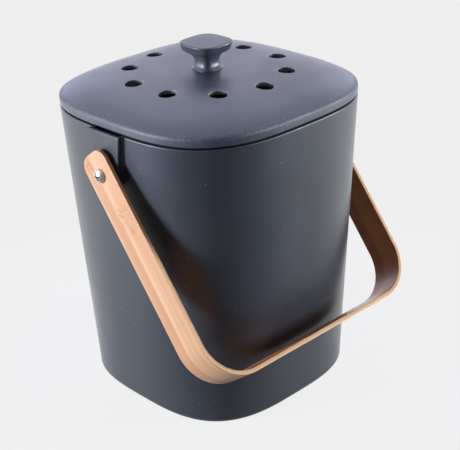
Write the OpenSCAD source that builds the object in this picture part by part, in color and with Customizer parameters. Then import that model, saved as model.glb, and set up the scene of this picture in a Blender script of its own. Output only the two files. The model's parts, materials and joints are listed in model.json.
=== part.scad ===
// Countertop compost caddy: a tapering rounded-square tub, a lift-off vented lid with a carbon
// filter under it, and a bail handle bent from a bamboo strip. Millimetres, +Z up. The origin is
// the middle of the base on the floor, X runs along the handle's pivots and the handle rests
// over the front, -Y.

/* [Tub] */
// Half the width across the flats at the rim
rim_half = 90; // [88:0.5:93]
// Half the width across the flats at the floor
base_half = 79.4; // [76:0.2:84]
// Height of the rim above the floor
rim_z = 209; // [190:1:230]
// Exponent of the rounded-square outline: 2 is a circle, higher is squarer
squareness = 3.15; // [2.6:0.05:4]
// Thickness of the moulded walls
wall = 2.6; // [2:0.1:3]
// Thickness of the tub's floor
floor_t = 3.5; // [2:0.5:5]
// Radius of the outer bottom edge
base_edge_r = 5; // [3:0.5:8]

/* [Pivot pads] */
// Outer plane of each pad from the middle
pad_x = 93.4; // [93:0.1:95]
// Radius of the pad's lower end around the pivot
pad_r = 11.2; // [10:0.2:13]
// Angle by which the pad widens towards the rim
pad_draft = 8; // [0:1:12]
// Height of the pivot above the floor
pivot_z = 180.9; // [170:0.1:186]

/* [Lid] */
// Gap between the rim and the lid, filled by the seal
lid_gap = 1.4; // [1:0.1:2]
// Height of the lid's upright edge
band_h = 5.9; // [4:0.1:8]
// Rise of the dome above the upright edge
dome_h = 12.3; // [8:0.1:16]
// Exponent of the dome: higher is flatter in the middle
dome_power = 4.8; // [3:0.1:6]
// Number of vent holes
vents = 10; // [6:1:12]
// Radius of the vent hole circle
vent_circle_r = 54; // [50:0.5:56]
// Radius of each vent hole
vent_r = 6.1; // [4:0.1:6.5]
// Half width of the skirt that reaches into the tub
skirt_half = 85; // [84:0.1:85.4]
// Depth of the skirt below the rim
skirt_depth = 7; // [5:0.5:12]

/* [Knob] */
// Half the width across the flats of the knob's top
knob_half = 15.8; // [14:0.1:17]
// Height of the knob above the lid
knob_h = 19; // [17:0.5:22]
// Exponent of the knob's outline
knob_squareness = 2.9; // [2.4:0.1:4]

/* [Filter] */
// Radius of the carbon pad, which fills its collar so that no air goes round it
filter_r = 67.9; // [65.7:0.1:68.1]
// Thickness of the carbon pad
filter_t = 8; // [6:0.5:8.5]
// Turn that frees the filter cover
cover_turn = 36; // [34:1:40]

/* [Handle] */
// Half the span of the bail at mid thickness
bail_half = 97; // [96.8:0.1:99]
// Thickness of the bamboo strip
strip_t = 3; // [2.6:0.1:3.2]
// Width of the bamboo strip
strip_w = 27; // [22:0.5:30]
// Pivot to the middle of the bar
bail_len = 156.6; // [150:0.1:170]
// Radius of the bends at mid thickness
bend_r = 30.2; // [24:0.1:40]
// Length of the strip above the pivot
strip_over = 15.8; // [12:0.1:18]
// Radius of the strip's end corners
end_r = 9; // [5:0.5:12]
// Angle between the resting bail and straight down
rest_angle = 37.3; // [36.8:0.1:45]

/* [Hardware] */
// Radius of the machine screws
screw_r = 2.5; // [2:0.1:3]
// Radius of the screw heads
head_r = 4.8; // [4:0.1:5.5]
// Height of the screw heads
head_h = 3.2; // [2.5:0.1:4]
// Outer radius of the sleeve the bamboo turns on
bush_r = 3.5; // [3.2:0.1:4]
// Outer radius of the nylon spacers
spacer_r = 7; // [6:0.5:9]
// Running clearance between moving faces
running = 0.1; // [0.05:0.01:0.1]

/* [Hidden] */
$fn = 64;

// Corners of the rings that the tub, the lid and the seal are built on
shell_sides = 80;
// Corners of the knob's rings
knob_sides = 40;
// Small overlap that joins touching solids of one piece
bite = 0.5;
// Thread stand-in clearance between a screw and what it is screwed into
thread_gap = 0.02;

// Heights
lid_z = rim_z + lid_gap;
dome_z = lid_z + band_h;
lid_top_z = dome_z + dome_h;
skirt_z = rim_z - skirt_depth;

// Pads and pivots
pad_wall = 2.4;
pad_inner_x = pad_x - pad_wall;
pad_root_x = (rim_half - wall + tub_half(pivot_z - pad_r)) / 2;
bail_inner_x = bail_half - strip_t / 2;
bail_outer_x = bail_half + strip_t / 2;
spacer_x = bail_inner_x - running;
head_x = bail_outer_x + running;
pivot_washer_t = 1;
nut_t = 5;
nut_flats = 8;
screw_tip = 1.2;

// Filter housing under the lid
collar_in_r = filter_r + 0.5;
collar_out_r = collar_in_r + 2.2;
collar_z = skirt_z + 2.6;
collar_top_z = dome_z + 2.7;
tab_t = 1.8;
tab_in_r = collar_in_r - 2.4;
tab_half_angle = cover_turn / 2;
lug_half_angle = tab_half_angle - 3;
lug_t = 1.7;
lug_r = collar_in_r - 0.4;
cover_r = tab_in_r - 0.6;
cover_z = collar_z + tab_t + 0.2;
filter_z = cover_z + lug_t + 0.3;
boss_r = 10;
boss_z = lid_top_z - wall - 3;
knob_washer_t = 1.2;
knob_washer_r = 7.5;
insert_r = 3.5;
insert_len = 8;

// Half width of the tub's outside at height z
function tub_half(z) = base_half + (rim_half - base_half) * z / rim_z;

// Height of the dome above its foot at a share s of the half width
function dome_rise(s) = dome_h * (1 - pow(s, dome_power));

// Points of an arc around [x, z], from angle a0 to a1
function arc(x, z, r, a0, a1, steps) =
    [for (i = [0:steps]) let (a = a0 + (a1 - a0) * i / steps) [x + r * cos(a), z + r * sin(a)]];

// Distance of the rounded-square outline from the middle at angle a, for a half width of 1
function outline(a, power) =
    pow(pow(abs(cos(a)), power) + pow(abs(sin(a)), power), -1 / power);

// One rounded-square ring of points at a [half width, height] step
function ring(step, power, sides) =
    [for (i = [0:sides - 1])
        let (a = 360 * i / sides, r = step[0] * outline(a, power))
        [r * cos(a), r * sin(a), step[1]]];

// Solid through rounded-square rings: the steps run up the outside, or back down the inside.
// A closed loft joins the last ring to the first and has a hole through it.
module loft(steps, power, sides, closed = false) {
    rings = len(steps);
    last = closed ? rings - 1 : rings - 2;
    points = [for (s = steps) each ring(s, power, sides)];
    walls = [for (k = [0:last], i = [0:sides - 1])
        let (a = k * sides, b = ((k + 1) % rings) * sides, j = (i + 1) % sides)
        [a + i, b + i, b + j, a + j]];
    caps = closed ? [] : [
        [for (i = [0:sides - 1]) i],
        [for (i = [sides - 1:-1:0]) (rings - 1) * sides + i]
    ];
    polyhedron(points, concat(walls, caps));
}

// Upright solid along X with its outline drawn in the Y-Z plane
module along_x(x0, x1) {
    translate([x0, 0, 0])
        rotate([90, 0, 90])
            linear_extrude(x1 - x0)
                children();
}

// Cylinder along X around the pivot axis
module pivot_rod(x0, x1, r) {
    translate([x0, 0, pivot_z])
        rotate([0, 90, 0])
            cylinder(h = x1 - x0, r = r);
}

// Copies a right-hand piece to the chosen side: 1 is right, +X, and -1 is left
module on_side(side) {
    rotate([0, 0, side > 0 ? 0 : 180])
        children();
}

// Sector of a ring around Z, between two radii, from angle a0 to a1
module ring_sector(r0, r1, z, h, a0, a1) {
    steps = 10;
    angles = [for (i = [0:steps]) a0 + (a1 - a0) * i / steps];
    far = r1 * 1.2;
    translate([0, 0, z])
        intersection() {
            difference() {
                cylinder(h = h, r = r1);
                translate([0, 0, -1])
                    cylinder(h = h + 2, r = r0);
            }
            linear_extrude(h)
                polygon(concat([[0, 0]], [for (a = angles) [far * cos(a), far * sin(a)]]));
        }
}

// Outline of a pad: round below the pivot, widening towards the rim
module pad_outline(r, top_z) {
    steps = 24;
    top_half = (r + (top_z - pivot_z) * sin(pad_draft)) / cos(pad_draft);
    round_end = [for (i = [0:steps])
        let (a = -pad_draft - (180 - 2 * pad_draft) * i / steps)
        [r * cos(a), pivot_z + r * sin(a)]];
    polygon(concat([[top_half, top_z]], round_end, [[-top_half, top_z]]));
}

// Pan head along +Z from its underside, with a cross recess
module pan_head() {
    rim = 1.3;
    dome = head_h - rim;
    dome_r = (head_r * head_r + dome * dome) / (2 * dome);
    difference() {
        intersection() {
            cylinder(h = head_h, r = head_r);
            translate([0, 0, head_h - dome_r])
                sphere(r = dome_r, $fn = 96);
        }
        for (a = [0, 90])
            rotate([0, 0, a])
                translate([-2.6, -0.6, head_h - 1.8])
                    cube([5.2, 1.2, 3]);
    }
}

// Screw along +Z with its head on top and the head's underside at zero
module pan_screw(length) {
    pan_head();
    translate([0, 0, -length])
        cylinder(h = length + bite, r = screw_r);
}

// Flat washer along Z, standing on zero
module washer(r, hole_r, t) {
    difference() {
        cylinder(h = t, r = r);
        translate([0, 0, -1])
            cylinder(h = t + 2, r = hole_r);
    }
}

// Tub: one loft from the flat base, up the outside, over the rim and down the inside
module bin_body() {
    rim_edge = 0.9;
    lip_edge = 0.7;
    inner_fillet = 6;
    inner_rim = rim_half - wall;
    inner_floor = tub_half(floor_t + inner_fillet) - wall - inner_fillet;
    steps = concat(
        arc(tub_half(base_edge_r) - base_edge_r, base_edge_r, base_edge_r, -90, 0, 6),
        arc(tub_half(rim_z - rim_edge) - rim_edge, rim_z - rim_edge, rim_edge, 0, 90, 3),
        arc(inner_rim + lip_edge, rim_z - lip_edge, lip_edge, 90, 180, 2),
        arc(inner_floor, floor_t + inner_fillet, inner_fillet, 0, -90, 5)
    );
    color("#3f434c")
        difference() {
            union() {
                loft(steps, squareness, shell_sides);
                for (side = [-1, 1])
                    on_side(side)
                        along_x(pad_root_x, pad_x)
                            pad_outline(pad_r, rim_z);
            }
            for (side = [-1, 1])
                on_side(side) {
                    along_x(pad_root_x - 8, pad_inner_x)
                        pad_outline(pad_r - wall, rim_z + 2);
                    pivot_rod(pad_inner_x - 1, pad_x + 1, screw_r + 0.1);
                }
        }
}

// Lid: one loft from the ceiling, down the skirt, out under the edge and over the dome, with a
// round seat for the filter collar and a boss for the knob's screw under the ceiling
module lid() {
    skirt_t = 2.4;
    skirt_in = skirt_half - skirt_t;
    groove_half = rim_half - wall;
    groove_z = lid_z + 3;
    edge_r = 0.9;
    crease_r = 1.5;
    ceiling = [for (s = [0.1, 0.4, 0.6, 0.72, 0.8, 0.86])
        [s * rim_half, dome_z + dome_rise(s) - wall]];
    dome = [for (s = [0.985, 0.96, 0.92, 0.88, 0.83, 0.77, 0.7, 0.6, 0.45, 0.2])
        [s * rim_half, dome_z + dome_rise(s)]];
    steps = concat(
        ceiling,
        [
            [skirt_in, dome_z + dome_rise(skirt_in / rim_half) - wall],
            [skirt_in, skirt_z],
            [skirt_half - 0.8, skirt_z],
            [skirt_half, skirt_z + 0.8],
            [skirt_half, groove_z],
            [groove_half, groove_z],
            [groove_half, lid_z]
        ],
        arc(rim_half - edge_r, lid_z + edge_r, edge_r, -90, 0, 2),
        arc(rim_half - crease_r, dome_z - crease_r, crease_r, 0, 45, 2),
        dome
    );
    seat_h = dome_rise(collar_out_r / rim_half) + dome_z - bite - collar_top_z;
    color("#4a4e58")
        difference() {
            union() {
                loft(steps, squareness, shell_sides);
                translate([0, 0, collar_top_z])
                    washer(collar_out_r, collar_in_r, seat_h);
                translate([0, 0, boss_z])
                    cylinder(h = lid_top_z - boss_z - wall + bite, r = boss_r);
            }
            for (i = [0:vents - 1])
                rotate([0, 0, 360 * (i + 0.5) / vents])
                    translate([vent_circle_r, 0, dome_z])
                        cylinder(h = dome_h + 1, r = vent_r);
            translate([0, 0, boss_z - 1])
                cylinder(h = lid_top_z - boss_z + 2, r = screw_r + 0.25);
        }
}

// Ring bonded to the seat under the lid: the filter cover twists into its three tabs and stops
module filter_collar() {
    stop_angle = 2.5;
    color("#4a4e58") {
        translate([0, 0, collar_z])
            washer(collar_out_r, collar_in_r, collar_top_z - collar_z);
        for (i = [0:2]) {
            mid = 120 * i;
            ring_sector(
                tab_in_r, collar_in_r + bite, collar_z, tab_t,
                mid - tab_half_angle, mid + tab_half_angle
            );
            ring_sector(
                tab_in_r, collar_in_r + bite, collar_z, tab_t + lug_t,
                mid + tab_half_angle - stop_angle, mid + tab_half_angle
            );
        }
    }
}

// Seal: a bead held in the lid's groove, a flat on the rim and a lip inside the tub
module lid_gasket() {
    in_half = skirt_half + 0.1;
    bead_half = rim_half - wall - 0.1;
    flat_half = rim_half - 1.1;
    rest_z = rim_z + 0.05;
    steps = [
        [in_half, rim_z - 2.8],
        [in_half + 0.9, rim_z - 2.8],
        [in_half + 1.7, rim_z - 2],
        [in_half + 1.4, rest_z],
        [flat_half - 0.2, rest_z],
        [flat_half, rest_z + 0.2],
        [flat_half, lid_z],
        [bead_half, lid_z],
        [bead_half, lid_z + 2.8],
        [in_half, lid_z + 2.8]
    ];
    color("#16171a")
        loft(steps, squareness, shell_sides, closed = true);
}

// Knob: flange, waisted neck and a wide slab with a slightly crowned top
module lid_knob() {
    slab_z = knob_h - 3.1;
    neck_half = 7.3;
    neck_steps = [
        [9.3, 0], [9.3, 0.8], [8.6, 1.4], [7.7, 2.1], [neck_half, 3.6], [neck_half, 5.2],
        [7.6, 7.2], [8.2, 8.8], [9.4, 10.3], [11.4, 11.7], [13.6, 13]
    ];
    slab_steps = [
        [knob_half - 1.2, slab_z - 1], [knob_half - 0.7, slab_z], [knob_half, knob_h - 1.2],
        [knob_half - 0.1, knob_h - 0.5], [knob_half - 0.8, knob_h], [knob_half * 0.6, knob_h + 0.25],
        [knob_half * 0.2, knob_h + 0.35]
    ];
    color("#4a4e58")
        translate([0, 0, lid_top_z])
            difference() {
                loft(concat(neck_steps, slab_steps), knob_squareness, knob_sides);
                translate([0, 0, -1])
                    cylinder(h = insert_len + 2.2, r = insert_r + thread_gap);
            }
}

// Threaded brass insert moulded in the knob
module knob_insert() {
    color("#c9a75a")
        translate([0, 0, lid_top_z + 1])
            washer(insert_r, screw_r + thread_gap, insert_len);
}

// Washer under the knob screw's head, against the boss
module knob_washer() {
    color("#c8cacd")
        translate([0, 0, boss_z - knob_washer_t])
            washer(knob_washer_r, screw_r + 0.2, knob_washer_t);
}

// Screw that holds the knob from inside the lid
module knob_screw() {
    head_z = boss_z - knob_washer_t;
    color("#d4d6d8")
        translate([0, 0, head_z])
            rotate([180, 0, 0])
                pan_screw(lid_top_z + insert_len - head_z);
}

// Carbon felt pad between the cover and the vent holes
module charcoal_filter() {
    color("#202225")
        translate([0, 0, filter_z])
            cylinder(h = filter_t, r = filter_r);
}

// Grille with three lugs that twists into the collar, and a bar to grip it by
module filter_cover() {
    slots = 24;
    slot_w = 3;
    lip_w = 3;
    grip_len = 52;
    grip_w = 5;
    grip_h = 8;
    color("#2b2d31") {
        difference() {
            union() {
                translate([0, 0, cover_z])
                    cylinder(h = lug_t, r = cover_r);
                for (i = [0:2])
                    ring_sector(
                        cover_r - bite, lug_r, cover_z, lug_t,
                        120 * i - lug_half_angle, 120 * i + lug_half_angle
                    );
            }
            for (i = [0:slots - 1])
                rotate([0, 0, 360 * (i + 0.5) / slots])
                    translate([26, -slot_w / 2, cover_z - 1])
                        cube([32, slot_w, lug_t + 2]);
        }
        translate([0, 0, collar_z])
            washer(cover_r, cover_r - lip_w, cover_z - collar_z + bite);
        translate([-grip_len / 2, -grip_w / 2, cover_z - grip_h])
            cube([grip_len, grip_w, grip_h + bite]);
    }
}

// Flat U that the bail is cut from: legs up from a bar, with round bends, in the X-Y plane
module u_plate(half, bottom, top, r) {
    translate([-half, bottom + r])
        square([2 * half, top - bottom - r]);
    translate([-half + r, bottom])
        square([2 * (half - r), top - bottom]);
    for (side = [-1, 1])
        translate([side * (half - r), bottom + r])
            circle(r = r, $fn = 96);
}

// Bail: a bamboo strip bent to a U, round at the ends, turned to its resting angle
module bamboo_handle() {
    out_r = bend_r + strip_t / 2;
    in_r = bend_r - strip_t / 2;
    bottom = -bail_len - strip_t / 2;
    color("#dfb988")
        translate([0, 0, pivot_z])
            rotate([-rest_angle, 0, 0])
                difference() {
                    intersection() {
                        rotate([90, 0, 0])
                            linear_extrude(strip_w, center = true)
                                difference() {
                                    u_plate(bail_outer_x, bottom, strip_over, out_r);
                                    u_plate(bail_inner_x, bottom + strip_t, strip_over + 1, in_r);
                                }
                        along_x(-bail_outer_x - 1, bail_outer_x + 1)
                            end_outline(bottom - 1);
                    }
                    rotate([0, 90, 0])
                        cylinder(h = 2 * bail_outer_x + 2, r = bush_r + 0.06, center = true);
                }
}

// Face of a leg with the strip's two rounded end corners
module end_outline(bottom) {
    half = strip_w / 2;
    translate([-half, bottom])
        square([strip_w, strip_over - end_r - bottom]);
    translate([-half + end_r, bottom])
        square([strip_w - 2 * end_r, strip_over - bottom]);
    for (side = [-1, 1])
        translate([side * (half - end_r), strip_over - end_r])
            circle(r = end_r);
}

// Screw through the bail, the sleeve and the pad, with its head outside
module pivot_screw(side) {
    tip_x = pad_inner_x - pivot_washer_t - nut_t - screw_tip;
    color("#d4d6d8")
        on_side(side)
            translate([head_x, 0, pivot_z])
                rotate([0, 90, 0])
                    pan_screw(head_x - tip_x);
}

// Steel sleeve between the pad and the screw head; the bamboo turns on it
module pivot_bush(side) {
    color("#b9bcc0")
        on_side(side)
            translate([pad_x, 0, pivot_z])
                rotate([0, 90, 0])
                    washer(bush_r, screw_r + 0.05, head_x - pad_x);
}

// Nylon spacer between the pad and the bamboo
module pivot_spacer(side) {
    color("#dcdcd4")
        on_side(side)
            translate([pad_x, 0, pivot_z])
                rotate([0, 90, 0])
                    washer(spacer_r, bush_r + 0.05, spacer_x - pad_x);
}

// Steel washer against the inside of the pad
module pivot_washer(side) {
    color("#c8cacd")
        on_side(side)
            translate([pad_inner_x - pivot_washer_t, 0, pivot_z])
                rotate([0, 90, 0])
                    washer(head_r + 0.2, screw_r + 0.1, pivot_washer_t);
}

// Hexagon lock nut with a round collar on the screw's inner end
module pivot_nut(side) {
    collar_t = 1.4;
    hex_r = nut_flats / 2 / cos(30);
    color("#c8cacd")
        on_side(side)
            translate([pad_inner_x - pivot_washer_t - nut_t, 0, pivot_z])
                rotate([0, 90, 0])
                    difference() {
                        union() {
                            translate([0, 0, collar_t])
                                cylinder(h = nut_t - collar_t, r = hex_r, $fn = 6);
                            cylinder(h = nut_t - bite, r = nut_flats / 2 - 0.3);
                        }
                        translate([0, 0, -1])
                            cylinder(h = nut_t + 2, r = screw_r + thread_gap);
                    }
}

module handle_screw_left() { pivot_screw(-1); }
module handle_screw_right() { pivot_screw(1); }
module pivot_bush_left() { pivot_bush(-1); }
module pivot_bush_right() { pivot_bush(1); }
module pivot_spacer_left() { pivot_spacer(-1); }
module pivot_spacer_right() { pivot_spacer(1); }
module pivot_washer_left() { pivot_washer(-1); }
module pivot_washer_right() { pivot_washer(1); }
module pivot_nut_left() { pivot_nut(-1); }
module pivot_nut_right() { pivot_nut(1); }

bin_body();
lid();
lid_gasket();
lid_knob();
knob_insert();
knob_washer();
knob_screw();
charcoal_filter();
filter_collar();
filter_cover();
bamboo_handle();
handle_screw_left();
handle_screw_right();
pivot_bush_left();
pivot_bush_right();
pivot_spacer_left();
pivot_spacer_right();
pivot_washer_left();
pivot_washer_right();
pivot_nut_left();
pivot_nut_right();
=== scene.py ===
"""Looks of a countertop compost caddy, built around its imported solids.

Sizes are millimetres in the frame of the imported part: +Z up, the middle of the base at the origin,
X along the handle's pivots, the handle resting over the front at -Y. Meshes become metres when
they are turned into objects.
"""

import json
import logging
import math
from collections.abc import Mapping, Sequence
from dataclasses import dataclass, field
from enum import Enum

import bmesh
import bpy
import numpy as np
from bpy.types import Material, Node, NodeSocket, NodeTree, Object
from mathutils import Matrix, Vector


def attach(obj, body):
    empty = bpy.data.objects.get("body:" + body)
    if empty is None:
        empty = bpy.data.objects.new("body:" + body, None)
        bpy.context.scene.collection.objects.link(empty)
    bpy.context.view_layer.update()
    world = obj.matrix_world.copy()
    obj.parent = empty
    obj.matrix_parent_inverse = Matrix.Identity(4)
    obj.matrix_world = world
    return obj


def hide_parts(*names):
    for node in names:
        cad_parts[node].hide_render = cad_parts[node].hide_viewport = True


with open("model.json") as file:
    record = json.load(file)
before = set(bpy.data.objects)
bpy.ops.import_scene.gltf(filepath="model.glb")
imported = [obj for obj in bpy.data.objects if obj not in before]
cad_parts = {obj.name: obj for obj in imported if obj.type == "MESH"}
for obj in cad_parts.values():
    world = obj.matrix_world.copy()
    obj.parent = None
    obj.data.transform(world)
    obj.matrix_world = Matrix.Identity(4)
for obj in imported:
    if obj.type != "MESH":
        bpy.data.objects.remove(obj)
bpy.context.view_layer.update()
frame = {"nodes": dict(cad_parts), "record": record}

LOG = logging.getLogger("caddy")
MM = 0.001
Step = tuple[float, float]


# ---------------------------------------------------------------------------------------------
# Meshes
# ---------------------------------------------------------------------------------------------


class Join(Enum):
    """How one closed mesh changes another."""

    ADD = "UNION"
    CUT = "DIFFERENCE"


@dataclass
class Shell:
    """Points and faces of one mesh, gathered ring by ring, in millimetres."""

    points: list[np.ndarray] = field(default_factory=list)
    faces: list[tuple[int, ...]] = field(default_factory=list)
    count: int = 0

    def ring(self, points: np.ndarray) -> list[int]:
        """Adds a row of points.

        Args:
            points: Rows of x, y, z.

        Returns:
            The indices of the points.
        """
        points = np.asarray(points, float).reshape(-1, 3)
        start = self.count
        self.points.append(points)
        self.count += len(points)
        return list(range(start, self.count))

    def bridge(self, low: Sequence[int], high: Sequence[int], closed: bool = True) -> None:
        """Joins two rows of equal length with quads.

        Args:
            low: Indices of the first row.
            high: Indices of the second row.
            closed: Whether the last point joins the first.
        """
        count = len(low)
        for i in range(count if closed else count - 1):
            j = (i + 1) % count
            self.faces.append((low[i], low[j], high[j], high[i]))

    def skin(self, rows: Sequence[Sequence[int]], closed: bool = True) -> None:
        """Joins rows of equal length, each to the next.

        Args:
            rows: Indices of each row.
            closed: Whether the last point of a row joins its first.
        """
        for low, high in zip(rows, rows[1:]):
            self.bridge(low, high, closed)

    def fan(self, row: Sequence[int], centre: Sequence[float]) -> None:
        """Closes a ring with triangles to a centre point.

        Args:
            row: Indices of the ring.
            centre: The point in the middle.
        """
        middle = self.ring(np.array([centre]))[0]
        for i, index in enumerate(row):
            self.faces.append((index, row[(i + 1) % len(row)], middle))

    def object(self, name: str) -> Object:
        """Turns the shell into a scene object with its faces outward.

        Args:
            name: The object's name.

        Returns:
            The new object, in metres.
        """
        mesh = bpy.data.meshes.new(name)
        points = np.concatenate(self.points) * MM
        mesh.from_pydata(points.tolist(), [], self.faces)
        made = bpy.data.objects.new(name, mesh)
        bpy.context.scene.collection.objects.link(made)
        working = bmesh.new()
        working.from_mesh(mesh)
        bmesh.ops.remove_doubles(working, verts=working.verts, dist=1e-7)
        bmesh.ops.recalc_face_normals(working, faces=working.faces)
        working.to_mesh(mesh)
        working.free()
        return made


def outline(angles: np.ndarray, power: float) -> np.ndarray:
    """Distance of a rounded square from its middle, for a half width of 1.

    Args:
        angles: Directions in radians.
        power: 2 is a circle, higher is squarer.

    Returns:
        One distance for each angle.
    """
    return (np.abs(np.cos(angles)) ** power + np.abs(np.sin(angles)) ** power) ** (-1 / power)


def square_ring(half: float, z: float, power: float, sides: int) -> np.ndarray:
    """One rounded-square ring of points.

    Args:
        half: Half the width across the flats.
        z: Height.
        power: Exponent of the outline.
        sides: Number of points.

    Returns:
        Rows of x, y, z.
    """
    angles = np.arange(sides) * 2 * math.pi / sides
    reach = half * outline(angles, power)
    return np.stack([reach * np.cos(angles), reach * np.sin(angles), np.full(sides, z)], axis=1)


def arc(x: float, z: float, radius: float, start: float, end: float, steps: int) -> list[Step]:
    """Points of a circular arc.

    Args:
        x: Centre, outward.
        z: Centre, upward.
        radius: Radius of the arc.
        start: First angle in degrees.
        end: Last angle in degrees.
        steps: Number of segments.

    Returns:
        Points as (x, z).
    """
    turns = [math.radians(start + (end - start) * i / steps) for i in range(steps + 1)]
    return [(x + radius * math.cos(t), z + radius * math.sin(t)) for t in turns]


def eased(knots: Sequence[Step], per_span: int) -> list[Step]:
    """A smooth curve through knots (centripetal Catmull-Rom), with its end knots kept.

    Args:
        knots: Points that the curve passes through.
        per_span: Points made for each span.

    Returns:
        The points of the curve.
    """
    k = np.asarray(knots, float)
    k = np.vstack([2 * k[0] - k[1], k, 2 * k[-1] - k[-2]])
    made: list[Step] = []
    for i in range(1, len(k) - 2):
        p0, p1, p2, p3 = k[i - 1 : i + 3]
        gaps = [max(np.linalg.norm(b - a), 1e-6) ** 0.5 for a, b in ((p0, p1), (p1, p2), (p2, p3))]
        t = np.cumsum([0.0, *gaps])
        for x in np.linspace(t[1], t[2], per_span, endpoint=False):
            a1 = (t[1] - x) / (t[1] - t[0]) * p0 + (x - t[0]) / (t[1] - t[0]) * p1
            a2 = (t[2] - x) / (t[2] - t[1]) * p1 + (x - t[1]) / (t[2] - t[1]) * p2
            a3 = (t[3] - x) / (t[3] - t[2]) * p2 + (x - t[2]) / (t[3] - t[2]) * p3
            b1 = (t[2] - x) / (t[2] - t[0]) * a1 + (x - t[0]) / (t[2] - t[0]) * a2
            b2 = (t[3] - x) / (t[3] - t[1]) * a2 + (x - t[1]) / (t[3] - t[1]) * a3
            c = (t[2] - x) / (t[2] - t[1]) * b1 + (x - t[1]) / (t[2] - t[1]) * b2
            made.append((float(c[0]), float(c[1])))
    made.append((float(k[-2][0]), float(k[-2][1])))
    return made


def loft(name: str, steps: Sequence[Step], power: float, sides: int, closed: bool = False) -> Object:
    """A solid through rounded-square rings.

    Args:
        name: The object's name.
        steps: (half width, height) of each ring, up the outside or back down the inside.
        power: Exponent of the outline.
        sides: Points in a ring.
        closed: Whether the last ring joins the first; otherwise both ends are closed.

    Returns:
        The object.
    """
    shell = Shell()
    rings = [shell.ring(square_ring(half, z, power, sides)) for half, z in steps]
    shell.skin(rings)
    if closed:
        shell.bridge(rings[-1], rings[0])
    else:
        shell.fan(rings[0], (0, 0, steps[0][1]))
        shell.fan(rings[-1], (0, 0, steps[-1][1]))
    return shell.object(name)


def lathe(name: str, profile: Sequence[Step], sides: int, place: Matrix | None = None) -> Object:
    """A turned solid around Z.

    Args:
        name: The object's name.
        profile: (radius, height) points of a closed section, or of one that starts and ends at radius 0.
        sides: Points around.
        place: Where the solid goes, with its move in millimetres.

    Returns:
        The object.
    """
    shell = Shell()
    angles = np.arange(sides) * 2 * math.pi / sides
    solid = profile[0][0] < 1e-6 and profile[-1][0] < 1e-6
    inner = profile[1:-1] if solid else profile
    rings = [
        shell.ring(np.stack([r * np.cos(angles), r * np.sin(angles), np.full(sides, z)], axis=1))
        for r, z in inner
    ]
    shell.skin(rings)
    if solid:
        shell.fan(rings[0], (0, 0, profile[0][1]))
        shell.fan(rings[-1], (0, 0, profile[-1][1]))
    else:
        shell.bridge(rings[-1], rings[0])
    if place is not None:
        turn, move = np.array(place.to_3x3()), np.array(place.translation)
        shell.points = [p @ turn.T + move for p in shell.points]
    return shell.object(name)


def rod(
    name: str, radius: float, low: float, high: float, sides: int, place: Matrix | None = None
) -> Object:
    """A closed cylinder around Z.

    Args:
        name: The object's name.
        radius: Its radius.
        low: Lower height.
        high: Upper height.
        sides: Points around.
        place: Where it goes, with its move in millimetres.

    Returns:
        The object.
    """
    return lathe(name, [(0, low), (radius, low), (radius, high), (0, high)], sides, place)


def sector(
    inner: float, outer: float, low: float, high: float, start: float, end: float, edge: float = 0.3
) -> Object:
    """A block that follows a ring around Z, with broken edges along it.

    Args:
        inner: Inner radius.
        outer: Outer radius.
        low: Lower height.
        high: Upper height.
        start: First angle in degrees.
        end: Last angle in degrees.
        edge: Size of the broken edges.

    Returns:
        The object.
    """
    section = [
        (inner + edge, low),
        (outer, low),
        (outer, high),
        (inner + edge, high),
        (inner, high - edge),
        (inner, low + edge),
    ]
    shell = Shell()
    rows = []
    for turn in np.radians(np.linspace(start, end, 17)):
        c, s = math.cos(turn), math.sin(turn)
        rows.append(shell.ring(np.array([[r * c, r * s, z] for r, z in section])))
    shell.skin(rows)
    shell.faces += [tuple(rows[0]), tuple(rows[-1])]
    return shell.object("sector")


def settle(piece: Object) -> None:
    """Applies a piece's modifiers to its mesh."""
    bpy.context.view_layer.update()
    graph = bpy.context.evaluated_depsgraph_get()
    final = bpy.data.meshes.new_from_object(piece.evaluated_get(graph))
    old = piece.data
    piece.modifiers.clear()
    piece.data = final
    bpy.data.meshes.remove(old)
    final.name = piece.name


def combine(piece: Object, tools: Sequence[Object], how: Join) -> None:
    """Adds closed meshes to a piece, or cuts them from it, and removes them.

    Args:
        piece: The object that changes.
        tools: The closed meshes.
        how: Whether they are added or cut away.
    """
    for tool in tools:
        step = piece.modifiers.new("join", "BOOLEAN")
        step.operation = how.value
        step.solver = "EXACT"
        step.object = tool
    settle(piece)
    for tool in tools:
        bpy.data.objects.remove(tool)


def shade(piece: Object, sharp_deg: float = 35) -> None:
    """Smooth shading with creases kept, and normals that keep flats flat.

    Args:
        piece: The object.
        sharp_deg: Edges that turn by more than this stay sharp.
    """
    piece.data.shade_smooth()
    piece.data.set_sharp_from_angle(angle=math.radians(sharp_deg))
    weighting = piece.modifiers.new("flats", "WEIGHTED_NORMAL")
    weighting.keep_sharp = True


# ---------------------------------------------------------------------------------------------
# Finishes
# ---------------------------------------------------------------------------------------------


def linear(colour: str) -> tuple[float, float, float, float]:
    """Turns an sRGB hex colour into linear light.

    Args:
        colour: Six hex digits after a #.

    Returns:
        Red, green, blue and 1.
    """
    parts = [int(colour[i : i + 2], 16) / 255 for i in (1, 3, 5)]
    r, g, b = (c / 12.92 if c <= 0.04045 else ((c + 0.055) / 1.055) ** 2.4 for c in parts)
    return r, g, b, 1.0


def feed(tree: NodeTree, node: Node, inputs: Mapping[str | int, object]) -> None:
    """Links or sets a node's inputs.

    Args:
        tree: The node tree.
        node: The node.
        inputs: Nodes or sockets to link from, or values to set, by input name or number. A node
            gives its first output.
    """
    for key, value in inputs.items():
        if isinstance(value, Node):
            value = value.outputs[0]
        if isinstance(value, NodeSocket):
            tree.links.new(value, node.inputs[key])
        else:
            node.inputs[key].default_value = value


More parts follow.
